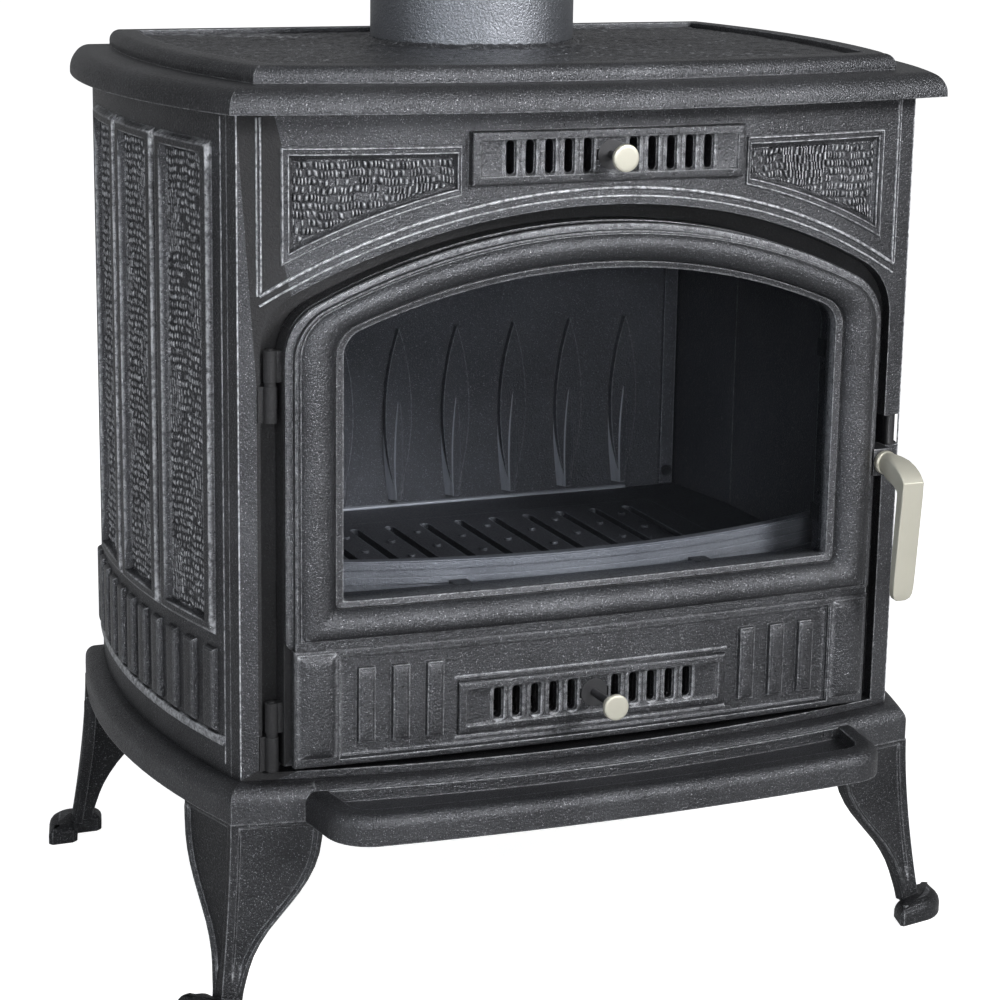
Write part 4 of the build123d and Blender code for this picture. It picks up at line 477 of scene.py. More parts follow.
class Relief:
    """Rectangles raised or sunk with rounded edges, on a grid whose lines follow those edges."""

    def __init__(self, left, right, bottom, top, spacing):
        self.limits = (left, right, bottom, top)
        self.spacing = spacing
        self.us = {left, right}
        self.vs = {bottom, top}
        self.blocks = []
        self.holes = []

    def block(self, left, right, bottom, top, rise, edge, end=None):
        """Add a rectangle; edge and end are the widths of its rounded sides and ends."""
        end = end or edge
        self.blocks.append((left, right, bottom, top, rise, edge, end))
        for share, _ in EDGE_STEPS:
            self.us.update((left + edge * share, right - edge * share))
            self.vs.update((bottom + end * share, top - end * share))

    def hole(self, left, right, bottom, top):
        """Leave out a rectangle, right through."""
        self.holes.append((left, right, bottom, top))
        self.us.update((left, right))
        self.vs.update((bottom, top))

    def rise(self, u, v):
        """Sum of the rises of the rectangles over a place."""
        total = 0
        for left, right, bottom, top, rise, edge, end in self.blocks:
            if left < u < right and bottom < v < top:
                across = soft_step(min(u - left, right - u), edge)
                along = soft_step(min(v - bottom, top - v), end)
                total += rise * min(across, along)
        return total

    def lines(self, values):
        """Sorted grid lines, with more between those that lie further apart than the spacing."""
        kept = []
        for value in sorted(values):
            if not kept or value - kept[-1] > 0.02:
                kept.append(value)
        result = []
        for start, end in zip(kept, kept[1:]):
            runs = max(1, math.ceil((end - start) / self.spacing))
            result.extend(start + (end - start) * step / runs for step in range(runs))
        return result + kept[-1:]

    def build(self, shape, lift, ground, back):
        """Add the relief to a shape as a closed slab from a back level to a ground level."""
        us, vs = self.lines(self.us), self.lines(self.vs)
        columns, rows = len(us), len(vs)
        kept = set()
        for i in range(columns - 1):
            for j in range(rows - 1):
                u, v = (us[i] + us[i + 1]) / 2, (vs[j] + vs[j + 1]) / 2
                if not any(a < u < b and c < v < d for a, b, c, d in self.holes):
                    kept.add((i, j))
        rises = [[self.rise(u, v) for v in vs] for u in us]
        points = [lift(us[i], vs[j], ground + rises[i][j]) for i in range(columns) for j in range(rows)]
        points += [lift(u, v, back) for u in us for v in vs]
        under = columns * rows
        faces = []
        for i, j in kept:
            a, b = i * rows + j, (i + 1) * rows + j
            corners = (a, b, b + 1, a + 1)
            faces.append(tuple(reversed([under + k for k in corners])))
            if abs(rises[i][j] - rises[i + 1][j + 1]) >= abs(rises[i + 1][j] - rises[i][j + 1]):
                faces += [(a, b, b + 1), (a, b + 1, a + 1)]
            else:
                faces += [(a, b, a + 1), (b, b + 1, a + 1)]
            for start, end, beyond in ((a, b, (i, j - 1)), (b, b + 1, (i + 1, j)),
                                       (b + 1, a + 1, (i, j + 1)), (a + 1, a, (i - 1, j))):
                if beyond not in kept:
                    faces.append((end, start, under + start, under + end))
        shape.add(points, faces)


# ---- woven casting texture ----
ROW_HEIGHT = 5.8
CELL_WIDTH = 3.2
WEAVE_BACK = -3.6


def scatter(*keys):
    """Repeatable number from 0 to 1 for a cell."""
    value = math.sin(sum(key * weight for key, weight in zip(keys, (127.1, 311.7, 74.7)))) * 43758.5453
    return value - math.floor(value)


def weave(u, v, seed):
    """Rise of an uneven basket weave: short upright reeds in rows, some missing, some running on."""
    v_wavy = v + 0.9 * math.sin(u * 0.13 + seed) + 0.5 * math.sin(u * 0.41 + 2 * seed)
    row = math.floor(v_wavy / ROW_HEIGHT)
    in_row = v_wavy / ROW_HEIGHT - row
    u_wavy = u + 0.5 * math.sin(v * 0.19 + seed) + 1.2 * math.sin(u * 0.31 + 1.3 * row + seed)
    column = math.floor(u_wavy / CELL_WIDTH)
    in_cell = u_wavy / CELL_WIDTH - column
    patch = math.sin(u * 0.055 + seed) * math.sin(v * 0.048 + 2.3 * seed)
    chance = scatter(column, row, seed)
    strength = 0.25 + 0.75 * chance if chance > 0.13 else 0
    narrow = 0.30 + 0.19 * scatter(column, row, seed + 9)
    lean = 0.14 * (scatter(column, row, seed + 5) - 0.5)
    across = max(0, 1 - abs((in_cell - 0.5 - lean * (in_row - 0.5)) / narrow) ** 2)
    if patch > 0.42:
        return (0.45 + 0.4 * scatter(column, 0, seed)) * across
    along = max(0, 1 - abs(2 * in_row - 1) ** 2.4)
    return strength * across * along


def woven_slab(shape, columns, rows, ends, edges, lift, ground, rise, seed):
    """Closed slab whose face is woven over ground(u, v); edges(u) gives its lower and upper edge."""
    left, right = ends

    def place(i, j):
        u = left + (right - left) * i / columns
        low, high = edges(u)
        v = low + (high - low) * j / rows
        return u, v, min(u - left, right - u, v - low, high - v)

    points = []
    for i in range(columns + 1):
        for j in range(rows + 1):
            u, v, margin = place(i, j)
            height = ground(u, v) + rise * weave(u, v, seed) * max(0, min(1, margin / 1.5))
            points.append(lift(u, v, height))
    count = rows + 1
    faces = []
    for i in range(columns):
        for j in range(rows):
            a, b = i * count + j, (i + 1) * count + j
            faces.append((a, b, b + 1, a + 1))
    rim = [i * count for i in range(columns + 1)]
    rim += [columns * count + j for j in range(1, rows + 1)]
    rim += [i * count + rows for i in range(columns - 1, -1, -1)]
    rim += list(range(rows - 1, 0, -1))
    under = len(points)
    for index in rim:
        u, v, _ = place(*divmod(index, count))
        points.append(lift(u, v, WEAVE_BACK))
    size = len(rim)
    for step in range(size):
        after = (step + 1) % size
        faces.append((rim[after], rim[step], under + step, under + after))
    faces.append(tuple(under + step for step in reversed(range(size))))
    shape.add(points, faces)


# ---- camera, light and floor ----
def make_camera():
    """Camera at the left in front of the stove, a little above it."""
    yaw, pitch, roll = math.radians(22.77), math.radians(-13.97), math.radians(0.92)
    forward = Vector((math.sin(yaw) * math.cos(pitch), math.cos(yaw) * math.cos(pitch), math.sin(pitch)))
    level = Vector((math.cos(yaw), -math.sin(yaw), 0))
    upright = level.cross(forward)
    right = math.cos(roll) * level + math.sin(roll) * upright
    up = -math.sin(roll) * level + math.cos(roll) * upright
    data = bpy.data.cameras.new("camera")
    data.lens = 97.92
    data.sensor_width = 36
    camera = new_object("camera", data)
    rotation = Matrix((right, up, -forward)).transposed().to_4x4()
    camera.matrix_world = Matrix.Translation((-0.825, -1.983, 0.855)) @ rotation
    bpy.context.scene.camera = camera


def area_light(name, place, target, size, power, colour=(1, 1, 1), spread=180):
    """Rectangular light; place, target and size are metres, power is watts and spread is degrees."""
    data = bpy.data.lights.new(name, "AREA")
    data.spread = math.radians(spread)
    data.shape = "RECTANGLE"
    data.size, data.size_y = size
    data.energy = power
    data.color = colour
    lamp = new_object(name, data)
    lamp.location = place
    aim = Vector(target) - Vector(place)
    lamp.rotation_euler = aim.to_track_quat("-Z", "Y").to_euler()


def make_studio():
    """White backdrop that gives off less light than it shows, and five soft lamps."""
    scene = bpy.context.scene
    scene.view_settings.view_transform = "Standard"
    world = bpy.data.worlds.new("studio")
    world.use_nodes = True
    tree = world.node_tree
    seen_by_things = {"Color": (0.97, 0.98, 1, 1), "Strength": 0.24}
    dim = feed(tree, tree.nodes["Background"], seen_by_things)["Background"]
    white = add_node(tree, "Background", {"Color": (1, 1, 1, 1)})["Background"]
    to_camera = add_node(tree, "LightPath")["Is Camera Ray"]
    mixed = add_node(tree, "MixShader", {"Fac": to_camera, 1: dim, 2: white})["Shader"]
    feed(tree, tree.nodes["World Output"], {"Surface": mixed})
    scene.world = world
    area_light("key", (1.35, -2.75, 1.85), (0, 0, 0.72), (1.1, 0.8), 15, spread=72)
    area_light("left_strip", (-2.7, -1.75, 1.55), (0, 0, 0.6), (0.4, 1.3), 6.5, (0.93, 0.97, 1), 90)
    area_light("top_strip", (-0.1, -0.9, 2.5), (0, -0.15, 0.6), (1.9, 0.35), 7, (0.95, 0.98, 1))
    area_light("fill", (-1.7, -3.2, 1.1), (0, 0, 0.45), (1.8, 1.2), 9)
    area_light("hearth", (-0.62, -2.30, 0.80), (0.02, 0.10, 0.38), (0.5, 0.35), 0.5, (0.95, 0.97, 1), 24)


def make_floor():
    """Pale floor, a little brighter to the eye than the light that it gives off."""
    mesh = bpy.data.meshes.new("floor")
    reach = 12
    mesh.from_pydata([(-reach, -reach, 0), (reach, -reach, 0), (reach, reach, 0), (-reach, reach, 0)],
                     [], [(0, 1, 2, 3)])
    material, tree, shader, place = new_material("pale_floor")
    cloud = noise(tree, place, 3, 2)
    to_camera = add_node(tree, "LightPath")["Is Camera Ray"]
    feed(tree, shader, {
        "Base Color": blend_colour(tree, cloud, (0.56, 0.56, 0.56), (0.60, 0.60, 0.60)),
        "Roughness": 0.9,
        "Emission Color": (1, 1, 1, 1),
        "Emission Strength": ramp(tree, to_camera, 0, 1, 0.08, 0.94),
    })
    mesh.materials.append(material)
    floor = new_object("floor", mesh)


# ---- door ----
# Across the door's moulding: share of the way from the glass to its outer edge, and rise.
MOULDING = (
    (-0.012, -26), (-0.012, -5.6), (0.012, -4.2), (0.13, -3), (0.145, -3.4), (0.155, -4), (0.165, -2.8),
    (0.18, -1), (0.215, 1.2), (0.27, 3.4), (0.34, 5.3), (0.42, 6.6), (0.51, 7.3), (0.60, 7.2), (0.68, 6.2),
    (0.74, 4.6), (0.785, 2.4), (0.81, 0), (0.822, -2.8), (0.835, -4.4), (0.86, -4.8), (0.965, -4.8),
    (0.99, -5.4), (1, -6.8), (1, -12), (0.9, -14), (0.2, -26),
)
# Air slots, in two groups of five beside the knob
SLOT_CENTRES = [side * (18 + 15 * index) for side in (-1, 1) for index in range(5)]
SLOT_HALF_WIDTH = 3.25
# Lip round a slot: distance from the centre line of its rounded end, and rise.
SLOT_LIP = (
    (6.3, -0.8), (6.2, 0.1), (5.8, 0.5), (5.3, 0.45), (4.5, -0.6), (3.6, -2.2), (3.3, -4), (6, -4),
)


def slot_lips(shape, bottom, top, lift, ground):
    """Rounded lip round each upright air slot, narrowing to the hole."""
    middle, straight = (bottom + top) / 2, (top - bottom) / 2 - SLOT_HALF_WIDTH
    for centre in SLOT_CENTRES:
        rings = []
        for step in range(32):
            angle = 2 * math.pi * (step + 0.5) / 32
            across, up = math.cos(angle), math.sin(angle)
            end = middle + math.copysign(straight, up)
            rings.append([lift(centre + radius * across, end + radius * up, ground + rise)
                          for radius, rise in SLOT_LIP])
        shape.skin(rings, wrap=True)


def air_pad(name, body, lift, half, bottom, top, slot_bottom, slot_top):
    """Flat plate with rolled edges, a sunk field, two groups of lipped slots and the stem's opening."""
    rise, sunk, border = 1.8, 1.5, 6
    plate = Relief(-half, half, bottom, top, 12)
    plate.block(*plate.limits, rise, 2.2)
    plate.block(-half + border, half - border, bottom + border, top - border, -sunk, 1.2)
    for centre in SLOT_CENTRES:
        plate.hole(centre - 4.2, centre + 4.2, slot_bottom - 0.3, slot_top + 0.3)
    middle = (slot_bottom + slot_top) / 2
    plate.hole(-12, 12, middle - 4, middle + 4)
    shape = Shape()
    plate.build(shape, lift, 0, -1)
    slot_lips(shape, slot_bottom, slot_top, lift, rise - sunk)
    shape.object(name, CASTING, body)


def make_door():
    """Moulding round the glass, the band below it and its air grille."""
    ring = Shape()
    ring.skin([[on_door(u, v, rise) for u, v in door_outline(share)] for share, rise in MOULDING], wrap=True)
    ring.object("door_moulding", CASTING, "door")
    band = Relief(-235.5, 235.5, 12.5, 101, 9)
    band.block(*band.limits, 0.8, 1.6)
    band.block(-202, 202, 17, 96, -4.9, 2.4)
    for side in (-1, 1):
        # A crowned pad at the end, and three flutes beside it in the sunk field
        inner, outer = sorted((side * 204.5, side * 233.5))
        band.block(inner, outer, 19, 98, 3.6, 11, 9)
        for index in range(3):
            centre = side * (128.5 + 26.3 * index)
            band.block(centre - 7, centre + 7, 27, 85, 4.6, 3.2)
    band.hole(-109, 109, 27, 65.5)
    shape = Shape()
    band.build(shape, on_door, 0.2, -6.4)
    # Thin lines frame the air grille below and above.
    for level in (22.8, 69.6):
        lay_bead(shape, divide([(-112, level), (112, level)], 12), round_profile(2.2, 1),
                 lambda u, v, rise: on_door(u, v, rise - 4))
    shape.object("door_band", CASTING, "door")
    air_pad("door_air_grille", "door", on_lower_pad, 110, 26, 66.5, 35, 59)


# ---- front plate ----
# Upper part's outline: half width, foot on the arch, and height.
OUTLINE_HALF = 254.8
OUTLINE_RADIUS = 493
OUTLINE_CENTRE = -64
OUTLINE_TOP = 483
# Sunk panels over the arch: inner and outer end, top, and the arch that bounds them below.
CORNER_INNER = 115
CORNER_OUTER = 238
CORNER_TOP = 460
CORNER_RADIUS = 514
CORNER_CENTRE = -73


def arch_level(u, radius, centre):
    """Height of an arch over a place."""
    return centre + math.sqrt(radius * radius - u * u)


# Across the frame of a woven corner panel: share of the way in, and rise.
CORNER_FRAME = (
    (0, -1), (0.01, 0.1), (0.05, 1.2), (0.11, 1.9), (0.17, 1.9), (0.24, 1.2), (0.46, 1.1), (0.52, 1.6),
    (0.58, 1.5), (0.63, 0.8), (0.68, -0.6), (0.90, -1.8), (0.98, -2.7), (1, -4),
)
# Double line at the outline's sides: a low ridge and a higher one beside it.
DOUBLE_LINE = (
    (-2.4, -1), (-2.2, 0), (-1.9, 0.5), (-1.5, 0.7), (-1, 0.4), (-0.6, 0.1), (0, 0.1), (0.3, 0.6),
    (0.8, 1), (1.3, 1), (1.8, 0.5), (2.1, 0), (2.2, -1),
)


def corner_outline(side, share):
    """Outline in the frame of a corner panel over the arch; the frame is slimmer at its inner end."""
    wide, slim = 9.8 * share - 2.3, 5.2 * share - 2.3
    inner, outer, top = CORNER_INNER + slim, CORNER_OUTER - wide, CORNER_TOP - wide

    def on_arch(u):
        return u, arch_level(u, CORNER_RADIUS + wide, CORNER_CENTRE)

    points = [on_arch(u) for u, _ in run((inner, top), (outer, top), 36)]
    points += run(on_arch(outer), (outer, top), 12)
    points += run((outer, top), (inner, top), 20)
    points += run((inner, top), on_arch(inner), 8)
    return [(side * u, v) for u, v in points]


def make_front_trim():
    """Frames of the corner panels and the outline round the front's upper part."""
    trim = Shape()
    for side in (-1, 1):
        trim.skin([[on_front(u, v, rise) for u, v in corner_outline(side, share)]
                   for share, rise in CORNER_FRAME], wrap=True)
    # Along the arch the outline has a second, thinner line inside it.
    for inset, width, rise in ((0, 2.8, 1.9), (6, 1.8, 1)):
        us = [-OUTLINE_HALF + 2 * OUTLINE_HALF * step / 80 for step in range(81)]
        line = [(u, arch_level(u, OUTLINE_RADIUS - inset, OUTLINE_CENTRE)) for u in us]
        lay_bead(trim, line, round_profile(width, rise), on_front)
    corner = arch_level(OUTLINE_HALF, OUTLINE_RADIUS, OUTLINE_CENTRE)
    sides = divide([(-OUTLINE_HALF, OUTLINE_TOP), (-OUTLINE_HALF, corner)], 12)
    lay_bead(trim, sides, DOUBLE_LINE, on_front)
    lay_bead(trim, [(-u, v) for u, v in reversed(sides)], DOUBLE_LINE, on_front)
    trim.object("front_trim", RELIEF_CASTING)


def make_corner_edges():
    """Thin round edge up each front corner of the body."""
    edges = Shape()
    for side in (-1, 1):
        round_edge = arc(side * 269.6, -179.6, 0.7, 0, 2 * math.pi, 10)
        edges.skin([[(x, y, BASE_TOP + level) for x, y in round_edge]
                    for level in (3, 120, 240, 360, 484)])
    edges.object("front_corner_edges", RELIEF_CASTING)


def corner_panel_edges(u):
    """Lower and upper edge of a corner panel's woven ground."""
    border = 6.4
    return arch_level(u, CORNER_RADIUS + border, CORNER_CENTRE), CORNER_TOP - border


def make_corner_panels():
    """Woven ground of the two panels over the arch."""
    fields = Shape()
    for side in (-1, 1):
        ends = sorted((side * (CORNER_INNER + 1.6), side * (CORNER_OUTER - 6)))
        woven_slab(fields, 250, 120, ends, corner_panel_edges, on_front, lambda u, v: -2.9, 3.4, 4 + side)
    fields.object("woven_corner_panels", RELIEF_CASTING, sharp=180)


def make_front():
    """Ornament of the front plate."""
    make_front_trim()
    make_corner_edges()
    make_corner_panels()
    air_pad("upper_air_grille", "stove_body", on_upper_pad, 107.5, 434, 472, 441, 465.5)


# ---- sides ----
PANEL_STARTS = (-148, -58, 32)
PANEL_SPAN = 78
PANEL_LOW = 106
PANEL_HIGH = 462
PANEL_BORDER = 7.8
# Across a side panel's frame: inset from its sides, inset from its ends, and rise.
SIDE_FRAME = (
    (-1.5, -2.5, -1), (-1.45, -2.4, 0), (-1.3, -1.2, 1.6), (-1.1, 0.6, 4), (-0.6, 1.4, 4.7),
    (0.2, 2, 4.9), (0.9, 2.8, 4.9), (1.4, 3.2, 4.9), (5.4, 5.6, 4.9), (6, 6.1, 4.9), (6.4, 6.5, 4.9),
    (6.9, 7.2, 4.6), (7.3, 7.6, 3.8), (7.5, 8, 1), (8.3, 9, -1.6), (8.5, 9.2, -3.8),
)
# Coarse blocks under the weave: bottom of the lowest row, height, half width, and the centres of the
# even and the odd rows' blocks from the panel's start.
BLOCK_LOW = 115.5
BLOCK_HEIGHT = 21.06
BLOCK_HALF_WIDTH = 12.5
BLOCK_CENTRES = (22, 56)
# Flutes under the panels
FLUTE_COUNT = 11
FLUTE_FIRST = -143.5
FLUTE_PITCH = 30
FLUTE_HALF_WIDTH = 7.5
FLUTE_LOW = 31
FLUTE_HIGH = 94


def side_panel_edges(u):
    """Lower and upper edge of a side panel's woven ground."""
    return PANEL_LOW + PANEL_BORDER, PANEL_HIGH - PANEL_BORDER


def side_ground(start):
    """Ground of a side panel's weave: it swells over the coarse blocks that alternate up the panel."""
    def ground(u, v):
        row = math.floor((v - BLOCK_LOW) / BLOCK_HEIGHT)
        centre_u = start + BLOCK_CENTRES[row % 2]
        centre_v = BLOCK_LOW + BLOCK_HEIGHT * (row + 0.5)
        outside = max(abs(u - centre_u) - BLOCK_HALF_WIDTH, abs(v - centre_v) - BLOCK_HEIGHT / 2, 0)
        return -1.55 - 0.7 * min(1, outside / 3)

    return ground


def make_sides():
    """Woven panels in raised frames, flutes below them, a rail at the foot and a seam by the front."""
    for side, word in ((-1, "left"), (1, "right")):
        lift = on_side(side)
        trim = Shape()
        woven = Shape()
        flutes = Shape()
        for index, start in enumerate(PANEL_STARTS):
            end = start + PANEL_SPAN
            trim.skin([[lift(u, v, rise) for u, v in rectangle(start + near, end - near,
                                                               PANEL_LOW + far, PANEL_HIGH - far)]
                       for near, far, rise in SIDE_FRAME], wrap=True)
            ends = (start + PANEL_BORDER, end - PANEL_BORDER)
            seed = 11 + index + 5 * side
            woven_slab(woven, 78, 340, ends, side_panel_edges, lift, side_ground(start), 2.4, seed)
        for index in range(FLUTE_COUNT):
            centre = FLUTE_FIRST + FLUTE_PITCH * index
            bar = Relief(centre - FLUTE_HALF_WIDTH, centre + FLUTE_HALF_WIDTH, FLUTE_LOW, FLUTE_HIGH, 6)
            bar.block(*bar.limits, 4, 1.6, 2.6)
            bar.build(flutes, lift, 0.2, -1)
        rail = divide([(-160, 25), (170, 25)], 8)
        lay_bead(trim, rail, flat_profile(8, 2.6, 2.2), lift)
        seam = divide([(-160.5, 8), (-160.5, 482)], 12)
        lay_bead(trim, seam, round_profile(1.5, 0.5), lift)
        trim.object(f"side_trim_{word}", RELIEF_CASTING)
        flutes.object(f"side_flutes_{word}", CASTING)
        woven.object(f"woven_side_panels_{word}", RELIEF_CASTING, sharp=180)


# ---- top field ----
# Edge of the sunk field: an arc in front, an arc at each side and a straight rear edge.
FIELD_FRONT_CENTRE_Y = 826
FIELD_FRONT_RADIUS = 1010
FIELD_SIDE_CENTRE = (462.92, 21.81)
FIELD_SIDE_RADIUS = 722.15
FIELD_REAR_Y = 159
FIELD_FLOOR_Z = 685.2
# The ground starts just outside the flue collar.
FIELD_INNER_RADIUS = 81.4


def field_reach(angle):
    """Distance from the flue's centre to the edge of the top's sunk field, in a direction."""

    def room(distance):
        x, y = distance * math.cos(angle), FLUE_Y + distance * math.sin(angle)
        front = FIELD_FRONT_RADIUS - math.hypot(x, y - FIELD_FRONT_CENTRE_Y)
        flank = FIELD_SIDE_RADIUS - math.hypot(abs(x) + FIELD_SIDE_CENTRE[0], y - FIELD_SIDE_CENTRE[1])
        return min(front, flank, FIELD_REAR_Y - y)

    low, high = 60, 420
    for _ in range(30):
        middle = (low + high) / 2
        low, high = (middle, high) if room(middle) > 0 else (low, middle)
    return low


def field_height(x, y, distance, reach):
    """Height of the leathery ground, which fades out at the edge and swells to the cement by the flue."""
    place = Vector((x, y, 0))
    crease = abs(field_noise.noise(place * 0.085)) + 0.6 * abs(field_noise.noise(place * 0.19))
    leather = 1.3 * min(1, 2.2 * crease)
    edge = min(1, (reach - distance) / 4)
    bead_width = 5 + 2.5 * field_noise.noise(place * 0.06)
    cement = 3.2 * max(0, 1 - ((distance - FIELD_INNER_RADIUS) / bead_width) ** 2)
    return FIELD_FLOOR_Z + leather * edge + cement


def make_top_field():
    """Leathery cast ground of the sunk field, with an uneven bead of cement round the flue."""
    steps, rows = 620, 84
    angles = [2 * math.pi * step / steps for step in range(steps)]
    reaches = [field_reach(angle) - 0.4 for angle in angles]

    def spot(angle, reach, share):
        distance = FIELD_INNER_RADIUS + (reach - FIELD_INNER_RADIUS) * share
        return distance * math.cos(angle), FLUE_Y + distance * math.sin(angle), distance

    rings = []
    for row in range(rows + 1):
        ring = []
        for angle, reach in zip(angles, reaches):
            x, y, distance = spot(angle, reach, (row / rows) ** 1.25)
            ring.append((x, y, field_height(x, y, distance, reach)))
        rings.append(ring)
    for share in (1, 0):
        rings.append([(*spot(angle, reach, share)[:2], FIELD_FLOOR_Z - 1.2)
                      for angle, reach in zip(angles, reaches)])
    shape = Shape()
    shape.skin(rings, wrap=True)
    shape.object("top_field_ground", CASTING, sharp=180)


# ---- knobs ----
def turn(shape, x, z, profile):
    """Turned shape about a line along y; the profile is (radius, y) pairs from back to front."""
    shape.skin([[(u, y, v) for u, v in arc(x, z, radius, 0, 2 * math.pi, 48)] for radius, y in profile])


# Knob from back to front: radius, and distance behind its face.
KNOB_PROFILE = (
    (6, 10), (7, 9.8), (7.3, 9), (7.4, 5.4), (8.4, 4.6), (9.6, 4), (10, 3.2), (10, 1.4),
    (9.7, 0.5), (9.1, 0.1), (7.5, 0), (3, 0), (0.2, 0),
)


def make_knobs():
    """Mushroom knobs of the two air sliders; each has its centre's height and its face's y."""
    for word, z, front in (("upper", 626.25, -240), ("lower", 220, -248)):
        knob = Shape()
        turn(knob, 0, z, [(radius, front + behind) for radius, behind in KNOB_PROFILE])
        knob.object(f"{word}_knob_cap", NICKEL, f"{word}_slider", (f"{word}_air_knob",))


# ---- handle ----
# Stations down the handle: centre y, centre z, half width, half depth, lean of the section in degrees, and
# roundness, from a nearly square section at 0 to an oval at 1.
HANDLE_STATIONS = (
    (-203, 378, 7.6, 8.6, 90, 1), (-208, 377.8, 8, 9.2, 88, 1),
    (-214, 376.8, 8.3, 9.4, 83, 0.9), (-220.5, 375.6, 8.7, 8.9, 76, 0.7),
    (-226.5, 373.8, 8.9, 8.1, 68, 0.45), (-231.5, 371.2, 9.1, 7.4, 60, 0.26),
    (-235, 368.6, 9.1, 7, 53, 0.16), (-237.5, 366, 9.1, 6.8, 45, 0.12),
    (-238, 356.5, 9.1, 4.5, 0, 0.12), (-238.3, 335, 9.1, 4.2, 0, 0.12),
    (-238.7, 315, 9.1, 3.8, 0, 0.12), (-239, 300, 9.1, 3.5, 0, 0.12),
    (-239.2, 289, 9, 3.3, 0, 0.16), (-239.3, 283, 8.5, 3.1, 0, 0.24),
    (-239.3, 279.5, 7, 2.7, 0, 0.5), (-239.2, 277.6, 4.2, 2, 0, 0.8),
)
# Collar where the handle's arm meets the spindle: radius, and y.
HANDLE_COLLAR = ((9.2, -199.4), (9.4, -200.4), (9.4, -202.6), (8.9, -203.6), (7.4, -204.2))


def make_handle():
    """Cranked arm from the spindle and a flat-faced grip that leans in towards its foot."""
    rings = []
    for y, z, half_width, half_depth, lean, roundness in HANDLE_STATIONS:
        ring = []
        tilt = math.radians(lean)
        power = 2 / (2 + 18 * (1 - roundness))
        outward = 1.6 * min(1, max(0, -208 - y) / 26)
        inward = 5.7 * max(0, 370 - z) / 100
        for step in range(40):
            angle = 2 * math.pi * step / 40
            cosine, sine = math.cos(angle), math.sin(angle)
            across = half_width * math.copysign(abs(cosine) ** power, cosine)
            deep = half_depth * math.copysign(abs(sine) ** power, sine)
            ring.append((SPINDLE_X + outward - inward + across,
                         y - deep * math.cos(tilt), z + deep * math.sin(tilt)))
        rings.append(ring)
    shape = Shape()
    shape.skin(rings)
    turn(shape, SPINDLE_X, SPINDLE_Z, HANDLE_COLLAR)
    shape.object("door_handle_grip", NICKEL, "handle", ("door_handle",), sharp=30)


# ---- legs ----
# Corners of the base, at x left or right, that the legs stand under
FRONT_LEG_CORNER = (282, -195)
REAR_LEG_CORNER = (291, 196)
LEG_TOP = 146
# Down a leg: height, and length of each arm of its L section.
LEG_LEVELS = (
    (146, 68), (143.5, 68), (141.5, 67.8), (132, 67.2), (120, 65.6), (110, 62.6), (99.5, 57.6),
    (90.5, 51.8), (81.6, 45), (72.6, 37.9), (63.7, 31), (54.3, 25.4), (45, 21.2), (36, 18.7),
    (27, 17), (20, 15.9), (12, 15.4),
)


def leg_directions(front):
    """Unit vectors, outward corner first, of the left leg's two arms seen from above."""
    front_angle = math.atan2(13.7, 68) if front else 0
    side_angle = math.atan2(17.8, 68)
    along = (math.cos(front_angle), -math.sin(front_angle))
    behind = (-math.sin(side_angle), math.cos(side_angle))
    return along, behind


def combine(first, a, second, b):
    """Sum of a times a pair of numbers and b times another."""
    return first[0] * a + second[0] * b, first[1] * a + second[1] * b


def leg_ring(level, arm, shift, front, field):
    """Section of a leg: a raised strip at the corner and a bead at the edge of each arm."""
    along, behind = leg_directions(front)
    strip = 7
    bead = arm - 7.2
    deep = 1.7 * field if bead > strip + 3 else 0
    marks = [(0, 0), (strip - 1.6, 0), (strip, -deep), (max(strip + 1, bead), -deep),
             (max(strip + 1.6, arm - 5.8), 0.5 * field - 0.4), (arm - 4, 1 * field),
             (arm - 2.4, 0.6 * field), (arm - 1, -0.8), (arm, -3), (arm, -9)]

    front_normal = (along[1], -along[0])
    side_normal = (-behind[1], behind[0])
    front_points = [combine(along, length, front_normal, out) for length, out in marks]
    side_points = [combine(behind, length, side_normal, out) for length, out in marks]
    inner = combine(along, 9.5, behind, 9.5)
    corner = (-0.6, -0.6)
    ring = list(reversed(side_points[1:])) + [corner] + front_points[1:] + [inner]
    return [(x - shift, y - shift, level) for x, y in ring]


def foot_outline(inset, front):
    """L-shaped sole: a round heel at the corner and a toe along each arm."""
    along, behind = leg_directions(front)
    width, reach, heel, cut = 25, 46, 17, 3.5

    flat = [(reach, 0), (reach, width), (width + 1, width), (width, width + 1), (width, reach),
            (0, reach)]
    flat += arc(heel, heel, heel, math.pi, math.pi / 2, 8) + [(heel, 0)]
    points = [combine(along, a, behind, b) for a, b in flat]
    smooth = []
    count = len(points)
    for index, point in enumerate(points):
        if index in (0, 1, 4, 5):
            for other in (points[index - 1], points[(index + 1) % count]):
                share = cut / math.dist(point, other)
                smooth.append(combine(point, 1 - share, other, share))
        else:
            smooth.append(point)
    return offset_path(smooth, inset, True)


# Up a foot: height, and inset of its outline.
FOOT_LEVELS = ((0, 0.8), (1.2, 0), (9, 0), (12.5, 0.9), (15.2, 2.8), (16.8, 5.4), (17.6, 8.2))
# The foot's outline starts this far outside the leg's corner, in x and in y.
FOOT_OVERHANG = 28


def leg_rings(front):
    """Sections down a leg; it drifts outwards by 12 mm towards its foot."""
    rings = []
    for level, arm in LEG_LEVELS:
        down = (LEG_TOP - level) / 132
        field = 0 if level > 142 else min(1, max(0, (level - 14) / 14))
        rings.append(leg_ring(level, arm, 12 * down**1.6, front, field))
    return rings


